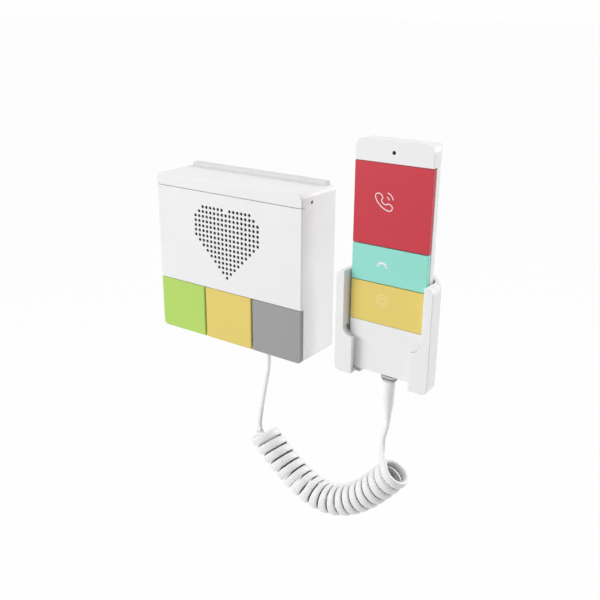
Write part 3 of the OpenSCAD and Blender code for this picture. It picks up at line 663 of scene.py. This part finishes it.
def shell(name, node, body, slot, *rounds):
    """A copy of a CAD shell; each round gives the edges and their radius in millimetres."""
    made = clean_copy(node)
    for chosen, width in rounds:
        round_edges(made, chosen, width)
    return dress(smooth(new_piece(name, made)), body, slot, FINISHES[slot], node)


def main_shells():
    shell("housing_shell", "housing", "base", "casing_white", *front_rounds("housing"), box_round("housing"))
    shell("rear_cover_shell", "rear_cover", "base", "cover_grey", box_round("rear_cover"))
    shell("bracket_plate", "wall_bracket", "base", "steel", box_round("wall_bracket"))
    shell("cradle_shell", "cradle", "base", "casing_white", box_round("cradle"))
    shell("outlet_grommet", "cord_grommet", "base", "cord_white", (every_edge, GROMMET_ROUND))
    for tint in ("green", "yellow", "grey"):
        node = f"button_{tint}"
        shell(f"{tint}_cap", node, f"{tint}_key", f"key_{tint}", *key_rounds(node))


def handset_shells():
    shell("handset_front_shell", "handset_front", "handset", "casing_white", box_round("handset_front"))
    shell("handset_rear_shell", "handset_rear", "handset", "casing_white", box_round("handset_rear"))
    for tint in ("red", "cyan", "yellow"):
        node = f"handset_button_{tint}"
        shell(f"handset_{tint}_cap", node, f"handset_{tint}_key", f"key_{tint}",
              (near_front(node), SMALL_KEY_ROUND))


# Collar under the handset, and the sleeve below it, in millimetres

# Drop, half width and half depth
COLLAR_STEPS = ((0, 4.4, 3.3), (3.0, 4.4, 3.3), (3.1, 5.2, 3.85), (3.2, 5.4, 4.0), (4.7, 5.4, 4.0),
                (4.8, 5.2, 3.85), (4.9, 4.4, 3.4), (5.5, 4.4, 3.4), (5.6, 4.9, 3.8), (7.2, 3.9, 3.8))
# Drops where the black bands of painted shade begin and end, in the neck and in the groove
COLLAR_SHADE_BANDS = ((2.4, 3.0), (5.0, 5.5))
SHADE_BAND_SHARE = 0.93
COLLAR_POWER = 4
RELIEF_D = 7.4
RELIEF_SKIN = 0.35
RELIEF_END = 0.5
RELIEF_RINGS = 16
RELIEF_SIDES = 40
RELIEF_SHARP = 50
# Shares: where the thin end's last ring sits, and how much of the sleeve stays round
RELIEF_LIP = 0.3
RELIEF_ROUND = 0.4


def cord_collar():
    """A neck, a plate, a groove and a short flare, with black bands of painted shade in the neck and in the
    groove.
    """
    low, high = box_mm("cord_collar")
    top = Vector(((low.x + high.x) / 2, (low.y + high.y) / 2, high.z))
    section = oval(RELIEF_SIDES, COLLAR_POWER)
    made = bmesh.new()
    tube(made, [ring(top + drop * DOWN, DOWN, X_AXIS, half_w, half_t, section)
                for drop, half_w, half_t in COLLAR_STEPS])
    dress(smooth(new_piece("collar", made)), "handset", "collar_grey", FINISHES["collar_grey"], "cord_collar")
    # Painted shade: black rings, in the rubber finish, stand for the shade in the neck and the groove.
    shade_bands = bmesh.new()
    half = SHADE_BAND_SHARE * (high - low) / 2
    for drops in COLLAR_SHADE_BANDS:
        tube(shade_bands, [ring(top + drop * DOWN, DOWN, X_AXIS, half.x, half.y, section) for drop in drops])
    dress(smooth(new_piece("collar_seals", shade_bands)), "handset", "rubber_black", FINISHES["rubber_black"])


def ease(f):
    """From 0 to 1, level at both ends."""
    f = min(max(f, 0), 1)
    return f * f * (3 - 2 * f)


def relief_sleeve():
    """A sleeve from round at the collar to flat at the cord, with its thin end rounded over."""
    end = Vector(TAIL[0])
    length = box_mm("strain_relief")[1].z - end.z
    drops = [(length - RELIEF_END) * i / RELIEF_RINGS for i in range(RELIEF_RINGS + 1)]
    rings = []
    for drop in (*drops, length - RELIEF_LIP * RELIEF_END, length):
        f = ease((drop / length - RELIEF_ROUND) / (1 - RELIEF_ROUND))
        turned_in = RELIEF_SKIN * max(0, (drop - length) / RELIEF_END + 1) ** 2
        half_w = (1 - f) * RELIEF_D / 2 + f * (CORD_W / 2 + RELIEF_SKIN) - turned_in
        half_t = (1 - f) * RELIEF_D / 2 + f * (CORD_T / 2 + RELIEF_SKIN) - turned_in
        section = oval(RELIEF_SIDES, 2 + f * (CORD_POWER - 2))
        rings.append(ring(end + Vector((0, 0, length - drop)), DOWN, EDGE_ON, half_w, half_t, section))
    made = bmesh.new()
    tube(made, rings)
    sleeve = smooth(new_piece("relief_sleeve", made), RELIEF_SHARP)
    dress(sleeve, "handset", "cord_white", FINISHES["cord_white"], "strain_relief")


# Copies of one shape, set on their seats by a node tree

def use_tree(piece, tree, **values):
    """Runs a node tree on a piece, with its inputs set by their labels, and keeps the plain mesh."""
    modifier = piece.modifiers.new(tree.name, "NODES")
    modifier.node_group = tree
    for socket in tree.interface.items_tree:
        if socket.in_out == "INPUT" and socket.name.replace(" ", "_") in values:
            modifier[socket.identifier] = values[socket.name.replace(" ", "_")]
    return settle(piece)


def seats_tree():
    """Sets a copy of one shape, less a cut, on each seat."""
    tree, given, out = new_tree(
        "set_on_seats", "GeometryNodeTree",
        {"Seats": "shape", "Shape": "object", "Cut": "object", "Finish": "finish"}, {"Copies": "shape"})
    shape = add(tree, "GeometryNodeObjectInfo", {"Object": given["Shape"]})
    cut = add(tree, "GeometryNodeObjectInfo", {"Object": given["Cut"]})
    ready = add(tree, "GeometryNodeMeshBoolean",
                {"Mesh 1": shape.outputs["Geometry"], "Mesh 2": cut.outputs["Geometry"]},
                operation="DIFFERENCE", solver="EXACT")
    copies = add(tree, "GeometryNodeInstanceOnPoints",
                 {"Points": given["Seats"], "Instance": ready.outputs["Mesh"]})
    real = add(tree, "GeometryNodeRealizeInstances", {"Geometry": copies.outputs[0]})
    done = add(tree, "GeometryNodeSetMaterial", {"Geometry": real.outputs[0], "Material": given["Finish"]})
    tree.links.new(done.outputs[0], out.inputs["Copies"])
    return tree


SEATS = seats_tree()


def set_on_seats(name, seats, body, slot, shape, cut, *stands_for):
    """Copies of a shape at places in millimetres, as one piece."""
    made = bmesh.new()
    for seat in seats:
        made.verts.new(mm(*seat))
    piece = new_piece(name, made)
    moulds = [new_piece(f"{name}_shape", shape), new_piece(f"{name}_cut", cut)]
    use_tree(piece, SEATS, Shape=moulds[0], Cut=moulds[1], Finish=FINISHES[slot])
    for mould in moulds:
        bpy.data.objects.remove(mould)
    return dress(smooth(piece), body, slot, FINISHES[slot], *stands_for)


# Front panel, with its heart of holes, and the cloth behind it, in millimetres

HOLE_PITCH = 3.25
HOLE_D = 2.2
HOLE_RIM = 0.08
HOLE_SIDES = 20
PANEL_T = 2.8
GRILLE_T = 0.9
NEST_T = 1.6
NEST_R = 2.7
NEST_PLAY = 0.3
# How far the moulds of the holes and of the pocket reach past what they cut
HOLE_LEAD = 1
HOLE_OVERRUN = 0.4
POCKET_OVERRUN = 1
# Domes of the cloth: their height, the gap round them, how high their rim is, and how deep they start
BULGE = 0.5
BULGE_PLAY = 0.02
BULGE_EDGE = 0.4
BULGE_SINK = 0.1
BULGE_SIDES = 16
# Heart, in steps: half its columns, its rows, what its top row lacks on each side, and its last full row
HEART_HALF = 8
HEART_ROWS = 15
HEART_SHOULDER = 2.0
HEART_WAIST = 6.0
HALF_STEP = 0.5


def heart_tree():
    """Places the holes of a heart: two rounded lobes that narrow to a point, with a notch between them."""
    tree, given, out = new_tree(
        "heart_of_holes", "GeometryNodeTree",
        {"Start": "shape", "Pitch": "value", "Half columns": "count", "Rows": "count", "Middle": "place"},
        {"Seats": "shape"})
    half = given["Half columns"]
    wide = sums(tree, "MULTIPLY", sums(tree, "MULTIPLY", half, 2.0), given["Pitch"])
    tall = sums(tree, "MULTIPLY", sums(tree, "SUBTRACT", given["Rows"], 1.0), given["Pitch"])
    columns = sums(tree, "ADD", sums(tree, "MULTIPLY", half, 2.0), 1.0)
    lattice = add(tree, "GeometryNodeMeshGrid",
                  {"Size X": wide, "Size Y": tall, "Vertices X": columns, "Vertices Y": given["Rows"]})
    spot = add(tree, "ShaderNodeSeparateXYZ", {0: add(tree, "GeometryNodeInputPosition").outputs[0]}).outputs
    column = sums(tree, "ABSOLUTE", sums(tree, "DIVIDE", spot["X"], given["Pitch"]))
    below = sums(tree, "SUBTRACT", sums(tree, "DIVIDE", tall, 2.0), spot["Y"])
    row = sums(tree, "DIVIDE", below, given["Pitch"])
    lobe = sums(tree, "ADD", sums(tree, "SUBTRACT", half, HEART_SHOULDER), row)
    point = sums(tree, "SUBTRACT", sums(tree, "ADD", half, HEART_WAIST), row)
    reach = sums(tree, "MINIMUM", sums(tree, "MINIMUM", half, lobe), point)
    outside = sums(tree, "GREATER_THAN", column, sums(tree, "ADD", reach, HALF_STEP))
    notch = sums(tree, "LESS_THAN", sums(tree, "ADD", column, row), HALF_STEP)
    heart = add(tree, "GeometryNodeDeleteGeometry",
                {"Geometry": lattice.outputs["Mesh"], "Selection": sums(tree, "MAXIMUM", outside, notch)},
                domain="POINT")
    upright = add(tree, "GeometryNodeTransform",
                  {"Geometry": heart.outputs[0], "Translation": given["Middle"],
                   "Rotation": (math.pi / 2, 0, 0)})
    tree.links.new(upright.outputs[0], out.inputs["Seats"])
    return tree


def drilled_tree():
    """Cuts a hole on each seat, and a pocket behind them."""
    tree, given, out = new_tree(
        "drilled_panel", "GeometryNodeTree",
        {"Panel": "shape", "Seats": "object", "Hole": "object", "Pocket": "object", "Finish": "finish"},
        {"Panel": "shape"})
    shapes = {name: add(tree, "GeometryNodeObjectInfo", {"Object": given[name]}).outputs["Geometry"]
              for name in ("Seats", "Hole", "Pocket")}
    holes = add(tree, "GeometryNodeInstanceOnPoints", {"Points": shapes["Seats"], "Instance": shapes["Hole"]})
    real = add(tree, "GeometryNodeRealizeInstances", {"Geometry": holes.outputs[0]})
    cut = add(tree, "GeometryNodeMeshBoolean", {"Mesh 1": given["Panel"], "Mesh 2": real.outputs[0]},
              operation="DIFFERENCE", solver="EXACT")
    tree.links.new(shapes["Pocket"], cut.inputs["Mesh 2"])
    done = add(tree, "GeometryNodeSetMaterial",
               {"Geometry": cut.outputs["Mesh"], "Material": given["Finish"]})
    tree.links.new(done.outputs[0], out.inputs["Panel"])
    return tree


def round_rect(width, height, radius, y, middle_z, steps=6):
    """Points round an upright rectangle with round corners, at one depth."""
    points = []
    for k, (sx, sz) in enumerate(((1, 1), (-1, 1), (-1, -1), (1, -1))):
        for i in range(steps + 1):
            a = math.pi / 2 * (k + i / steps)
            x = sx * (width / 2 - radius) + radius * math.cos(a)
            z = sz * (height / 2 - radius) + radius * math.sin(a)
            points.append(Vector((x, y, middle_z + z)))
    return points


def plate_blank(low, high):
    """The panel's plate before its holes, with its front edges rounded."""
    made = bmesh.new()
    bmesh.ops.create_cube(made, size=MM)
    bmesh.ops.scale(made, vec=(high.x - low.x, PANEL_T, high.z - low.z), verts=made.verts)
    bmesh.ops.translate(made, vec=mm(0, low.y + PANEL_T / 2, (low.z + high.z) / 2), verts=made.verts)
    for chosen, width in front_rounds("front_panel"):
        round_edges(made, chosen, width)
    return made


def hole_mould():
    """The shape of one hole, with a rounded rim."""
    hole = HOLE_D / 2
    rim = [(hole + HOLE_RIM * (1 - math.sin(a)), HOLE_RIM * (1 - math.cos(a)))
           for a in np.linspace(0, math.pi / 2, 4)]
    depth = GRILLE_T + HOLE_OVERRUN
    front = [(0, -HOLE_LEAD), (hole + HOLE_RIM, -HOLE_LEAD)]
    return quarter_turn(turned([*front, *rim, (hole, depth), (0, depth)], HOLE_SIDES), "X", -1)


def cloth_bulge():
    """The cloth where it is pressed into a hole, as a low dome towards the front."""
    radius = HOLE_D / 2 - BULGE_PLAY
    dome = [(radius * math.cos(a), BULGE * (BULGE_EDGE + (1 - BULGE_EDGE) * math.sin(a)))
            for a in np.linspace(0, math.pi / 2, 5)[:-1]]
    foot = [(0, -BULGE_SINK), (radius, -BULGE_SINK)]
    return quarter_turn(turned([*foot, *dome, (0, BULGE)], BULGE_SIDES), "X")


def add_wall(piece, rings):
    """Adds a closed wall through rings of points to a piece's mesh."""
    wall = bmesh.new()
    tube(wall, rings, closed=True)
    wall_mesh = bpy.data.meshes.new("nest_wall")
    wall.to_mesh(wall_mesh)
    wall.free()
    both = bmesh.new()
    both.from_mesh(piece.data)
    both.from_mesh(wall_mesh)
    both.to_mesh(piece.data)
    both.free()


def grille_panel():
    low, high = box_mm("front_panel")
    cloth_low, cloth_high = box_mm("grille_cloth")
    middle = (cloth_low + cloth_high) / 2
    room = (cloth_high.x - cloth_low.x + 2 * NEST_PLAY, cloth_high.z - cloth_low.z + 2 * NEST_PLAY)
    back = low.y + PANEL_T
    outer_room = [side + 2 * NEST_T for side in room]
    pocket_ends = [round_rect(*room, NEST_R, y, middle.z) for y in (low.y + GRILLE_T, back + POCKET_OVERRUN)]
    inner = [round_rect(*room, NEST_R, y, middle.z) for y in (back, high.y)]
    outer = [round_rect(*outer_room, NEST_R + NEST_T, y, middle.z) for y in (back, high.y)]
    hollow = bmesh.new()
    tube(hollow, pocket_ends)
    hole = new_piece("hole_mould", hole_mould())
    pocket = new_piece("pocket_mould", hollow)
    heart = new_piece("heart_seats", bmesh.new())
    use_tree(heart, heart_tree(), Pitch=HOLE_PITCH * MM, Half_columns=HEART_HALF, Rows=HEART_ROWS,
             Middle=mm(0, low.y, middle.z))
    seats = [(spot.co.x / MM, low.y + GRILLE_T, spot.co.z / MM) for spot in heart.data.vertices]
    set_on_seats("cloth_in_holes", seats, "base", "grille_black", cloth_bulge(), bmesh.new())
    panel = new_piece("grille_panel", plate_blank(low, high))
    use_tree(panel, drilled_tree(), Seats=heart, Hole=hole, Pocket=pocket, Finish=FINISHES["casing_white"])
    for mould in (heart, hole, pocket):
        bpy.data.objects.remove(mould)
    add_wall(panel, [*outer, *reversed(inner)])
    dress(smooth(panel), "base", "casing_white", FINISHES["casing_white"], "front_panel")


# Screws, in millimetres

# Body, diameter and height of the head, and diameter of the shank
SCREWS = {"cover_screws": ("base", 5.6, 1.3, 2.9), "handset_screws": ("handset", 4.2, 1.6, 2.2)}
TIP_TAPER = 0.3
TIP_LENGTH = 0.5
# Shape of the head's dome, and shares of the head's diameter for the arms of the cross
DOME_POWER = 0.6
DOME_EDGE = 0.3
CROSS_LONG = 0.3
CROSS_SHORT = 0.07
# Share of the head's height, and scale, at the bottom and above the top of the recess
CROSS_ENDS = ((0.4, 0.6), (1.5, 1.1))


def pan_screw(head_d, head_t, shank_d, length):
    """A pan-headed screw whose seat is at the origin, with its head towards +Y."""
    shank = shank_d / 2
    dome = [(head_d / 2 * math.cos(a) ** DOME_POWER, head_t * (DOME_EDGE + (1 - DOME_EDGE) * math.sin(a)))
            for a in np.linspace(0, math.pi / 2, 7)[:-1]]
    tip = [(0, -length), (shank - TIP_TAPER, -length), (shank, TIP_LENGTH - length)]
    return quarter_turn(turned([*tip, (shank, 0), (head_d / 2, 0), *dome, (0, head_t)]), "X", -1)


def cross_cut(head_d, head_t):
    """The cross recess of a screw: a plus that narrows downwards."""
    long = CROSS_LONG * head_d
    short = CROSS_SHORT * head_d
    quarter = [(long, short), (short, short), (short, long)]
    plus = []
    for i in range(4):
        plus += quarter
        quarter = [(-z, x) for x, z in quarter]
    made = bmesh.new()
    tube(made, [[Vector((scale * x, share * head_t, scale * z)) for x, z in plus]
                for share, scale in CROSS_ENDS])
    return made


def screws():
    for node, (body, head_d, head_t, shank_d) in SCREWS.items():
        low, high = box_mm(node)
        seat_y = high.y - head_t
        seats = [(x, seat_y, z) for x in (low.x + head_d / 2, high.x - head_d / 2)
                 for z in (low.z + head_d / 2, high.z - head_d / 2)]
        screw = pan_screw(head_d, head_t, shank_d, seat_y - low.y)
        set_on_seats(f"cross_{node}", seats, body, "steel", screw, cross_cut(head_d, head_t), node)


# Black discs in the microphone holes, as painted shade, in millimetres

HOLE_DISC_D = 2.2
HOLE_DISC_T = 1.0
HOLE_DISC_SINK = 0.25
HOLE_DISC_EDGE_W = 0.2
HOLE_DISC_EDGE_T = 0.15
HOLE_DISC_SIDES = 24


def microphone_hole_shades():
    """Black discs just inside the two microphone holes, as painted shade in them."""
    radius = HOLE_DISC_D / 2
    outline = [(0, -HOLE_DISC_T), (radius, -HOLE_DISC_T), (radius, -HOLE_DISC_EDGE_T), (radius - HOLE_DISC_EDGE_W, 0), (0, 0)]
    low, high = box_mm("microphone")
    side = Vector((box_mm("housing")[1].x - HOLE_DISC_SINK, (low.y + high.y) / 2, (low.z + high.z) / 2))
    low, high = box_mm("handset_microphone")
    front = Vector(((low.x + high.x) / 2, box_mm("handset_front")[0].y + HOLE_DISC_SINK, (low.z + high.z) / 2))
    for name, place, body, axis in (("side_felt", side, "base", "Y"),
                                    ("handset_felt", front, "handset", "X")):
        made = quarter_turn(turned(outline, HOLE_DISC_SIDES), axis)
        bmesh.ops.translate(made, verts=made.verts, vec=place * MM)
        dress(smooth(new_piece(name, made)), body, "grille_black", FINISHES["grille_black"])


# Clamp screws and spring contacts, in millimetres

# Diameter and height of the head, diameter and length of the shank
TERMINAL_SCREW = (2.6, 1.1, 1.4, 0.6)
TERMINAL_SINK = 1.5
TERMINALS = 3
CONTACTS = 8
CONTACT_PITCH = 1.02
CONTACT_D = 0.4
CONTACT_SIDES = 10
CONTACT = ((0, -12.2, 3.2), (0, -14.2, 2.9), (0, -19.6, 0.7), (0, -23.2, 1.6))


def sockets():
    """Clamp screws of the terminal block, and the spring contacts of the network socket."""
    low, high = box_mm("terminal_block")
    middle = (low + high) / 2
    pitch = (high.x - low.x) / TERMINALS
    seats = [(middle.x + (k - (TERMINALS - 1) / 2) * pitch, high.y - TERMINAL_SINK, middle.z)
             for k in range(TERMINALS)]
    cut = cross_cut(*TERMINAL_SCREW[:2])
    set_on_seats("clamp_screws", seats, "base", "steel", pan_screw(*TERMINAL_SCREW), cut)
    low, high = box_mm("network_jack")
    middle = (low + high) / 2
    points = [Vector(p) for p in CONTACT]
    route = smooth_route(points, (points[1] - points[0]).normalized(), (points[-1] - points[-2]).normalized())
    section = oval(CONTACT_SIDES, 2)
    wire = bmesh.new()
    tube(wire, [ring(place, ahead, X_AXIS, CONTACT_D / 2, CONTACT_D / 2, section) for place, ahead in route])
    seats = [(middle.x + (k - (CONTACTS - 1) / 2) * CONTACT_PITCH, 0, middle.z) for k in range(CONTACTS)]
    set_on_seats("socket_contacts", seats, "base", "steel", wire, bmesh.new())


# Printed marks on the handset's keys: a receiver with two waves, a receiver laid down, and two rings

MARK_LINE = 0.5
MARK_RISE = 0.05
MARK_STEPS = 4
MARK_PLACES = {"red": (106.3, 54.9), "cyan": (106.6, 16.6), "yellow": (107.7, -5.9)}
FLAT = ((1, 1), (-1, 1), (-1, -1), (1, -1))
RECEIVER = ((-5.9, 3.7), (-5.5, 0.9), (-3, -2.1), (-0.5, -3.9), (2.8, -5.1), (4.6, -4.6), (5.3, -3.2),
            (4.9, -1.9), (2.4, -0.9), (1.2, -1.6), (-0.7, -1.1), (-1.9, 0.6), (-1.3, 2.2), (-1.7, 3.6),
            (-3.8, 4.6))
WAVE_RADII = (2.05, 4.6)
WAVE_TURN = (10, 80)
WAVE_MIDDLE = (1.1, 0.9)
LAID_R = 3.6
LAID_TURN = (35, 145)
LAID_MIDDLE = (0, -2.4)
LAID_LINE = 1.1
LAID_END = ((2.5, -0.2), (3.2, -1.2))
LAID_END_LINE = 1.7
RING_RADII = (3.85, 2.05)
RING_STEPS = 24


def arc(radius, first, last, middle=(0, 0), steps=12):
    """Points on part of a circle, between two turns in degrees."""
    turns = [math.radians(first + (last - first) * i / steps) for i in range(steps + 1)]
    return [(middle[0] + radius * math.cos(a), middle[1] + radius * math.sin(a)) for a in turns]


def drawn_line(made, points, middle, width, closed):
    """A printed line, a little proud of a key's front."""
    points = [middle + Vector((x, 0, z)) for x, z in points]
    first = (points[1] - points[-1 if closed else 0]).normalized()
    last = first if closed else (points[-1] - points[-2]).normalized()
    if closed:
        route = smooth_route([*points, points[0]], first, last, MARK_STEPS)[:-1]
    else:
        route = smooth_route(points, first, last, MARK_STEPS)
    rings = [ring(place, ahead, ahead.cross(Y_AXIS), width / 2, MARK_RISE, FLAT) for place, ahead in route]
    tube(made, rings, closed)


def key_mark(tint, slot, finish, *lines):
    """Lines on one key; each gives its points, its width and whether it closes."""
    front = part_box(f"handset_button_{tint}")[0].y / MM
    x, z = MARK_PLACES[tint]
    made = bmesh.new()
    for points, width, closed in lines:
        drawn_line(made, points, Vector((x, front, z)), width, closed)
    dress(new_piece(f"{tint}_key_mark", made), f"handset_{tint}_key", slot, FINISHES[finish])


def key_marks():
    waves = [(arc(radius, *WAVE_TURN, WAVE_MIDDLE), MARK_LINE, False) for radius in WAVE_RADII]
    key_mark("red", "casing_white", "mark_white", (RECEIVER, MARK_LINE, True), *waves)
    laid = (arc(LAID_R, *LAID_TURN, LAID_MIDDLE), LAID_LINE, False)
    ends = [([(side * x, z) for x, z in LAID_END], LAID_END_LINE, False) for side in (1, -1)]
    key_mark("cyan", "casing_white", "mark_white", laid, *ends)
    rings = [(arc(radius, 0, 360, steps=RING_STEPS)[:-1], MARK_LINE, True) for radius in RING_RADII]
    key_mark("yellow", "key_yellow", "mark_cream", *rings)


# Inner pieces keep their CAD shapes

SLOT_OF_INNER = {
    "key_frame": "frame_dark", "grille_cloth": "grille_black", "speaker_gasket": "rubber_black",
    "speaker_basket": "speaker_metal", "speaker_cone": "cone_black", "speaker_magnet": "magnet_iron",
    "main_board": "board_green", "key_switches": "switch_grey", "network_jack": "steel",
    "terminal_block": "terminal_green", "microphone": "capsule_metal", "microphone_boot": "rubber_black",
    "handset_board": "board_green", "handset_switches": "switch_grey", "handset_microphone": "capsule_metal",
}


def inner_pieces():
    """Gives the CAD nodes inside the casings their finishes."""
    for node, slot in SLOT_OF_INNER.items():
        for holder in nodes[node].material_slots:
            holder.material = FINISHES[slot]


# Studio: pale floor, white surroundings and soft lamps, in metres and watts

FLOOR_Z = -0.9
FLOOR_HALF = 60
FLOOR_TONE = 0.9
AMBIENT = 0.38
WHITE = 0.99
FLOOR_SHARE = 0.97


def seen_directly(tree):
    """1 for rays from the camera, from gloss and through glass."""
    ray = add(tree, "ShaderNodeLightPath").outputs
    glossy = sums(tree, "MAXIMUM", ray["Is Glossy Ray"], ray["Is Transmission Ray"])
    return sums(tree, "MAXIMUM", ray["Is Camera Ray"], glossy)


def studio():
    world = bpy.data.worlds.new("studio")
    world.use_nodes = True
    scene.world = world
    tree = world.node_tree
    tree.nodes.clear()
    light = add(tree, "ShaderNodeBackground", {"Color": (1, 1, 1, 1), "Strength": AMBIENT})
    white = add(tree, "ShaderNodeBackground", {"Color": (1, 1, 1, 1), "Strength": WHITE})
    both = add(tree, "ShaderNodeMixShader",
               {0: seen_directly(tree), 1: light.outputs[0], 2: white.outputs[0]})
    add(tree, "ShaderNodeOutputWorld", {"Surface": both.outputs[0]})

    made = bmesh.new()
    bmesh.ops.create_grid(made, x_segments=1, y_segments=1, size=FLOOR_HALF)
    bmesh.ops.translate(made, vec=(0, 0, FLOOR_Z), verts=made.verts)
    floor = new_piece("floor", made)
    pale = bpy.data.materials.new("pale_floor")
    pale.use_nodes = True
    tree = pale.node_tree
    tree.nodes.clear()
    matt = add(tree, "ShaderNodeBsdfDiffuse", {"Color": (FLOOR_TONE, FLOOR_TONE, FLOOR_TONE, 1)})
    white = add(tree, "ShaderNodeEmission", {"Color": (1, 1, 1, 1), "Strength": 1.0})
    share = sums(tree, "MULTIPLY", seen_directly(tree), FLOOR_SHARE)
    both = add(tree, "ShaderNodeMixShader", {0: share, 1: matt.outputs[0], 2: white.outputs[0]})
    add(tree, "ShaderNodeOutputMaterial", {"Surface": both.outputs[0]})
    floor.data.materials.append(pale)


LAMP_SIZE = 1.4
LAMPS = {
    "key_lamp": ((-1.3, -1.6, 0.7), 26.0),
    "front_lamp": ((-0.2, -1.9, 0.9), 5.5),
    "rim_lamp": ((1.3, 1.5, 0.9), 33.5),
    "top_lamp": ((0.05, -0.1, 2.0), 7.0),
}


def lamps():
    """Square lamps that face the middle of the part."""
    for name, (place, power) in LAMPS.items():
        lamp = bpy.data.lights.new(name, "AREA")
        lamp.size = LAMP_SIZE
        lamp.energy = power
        holder = bpy.data.objects.new(name, lamp)
        holder.location = place
        aim = (cad_box[0] + cad_box[1]) / 2 - Vector(place)
        holder.rotation_mode = "QUATERNION"
        holder.rotation_quaternion = aim.to_track_quat("-Z", "Y")
        scene.collection.objects.link(holder)


scene.view_settings.view_transform = "Standard"
photo_camera()
curly_cord(FINISHES["cord_white"])
main_shells()
grille_panel()
handset_shells()
cord_collar()
relief_sleeve()
microphone_hole_shades()
screws()
sockets()
key_marks()
inner_pieces()
studio()
lamps()
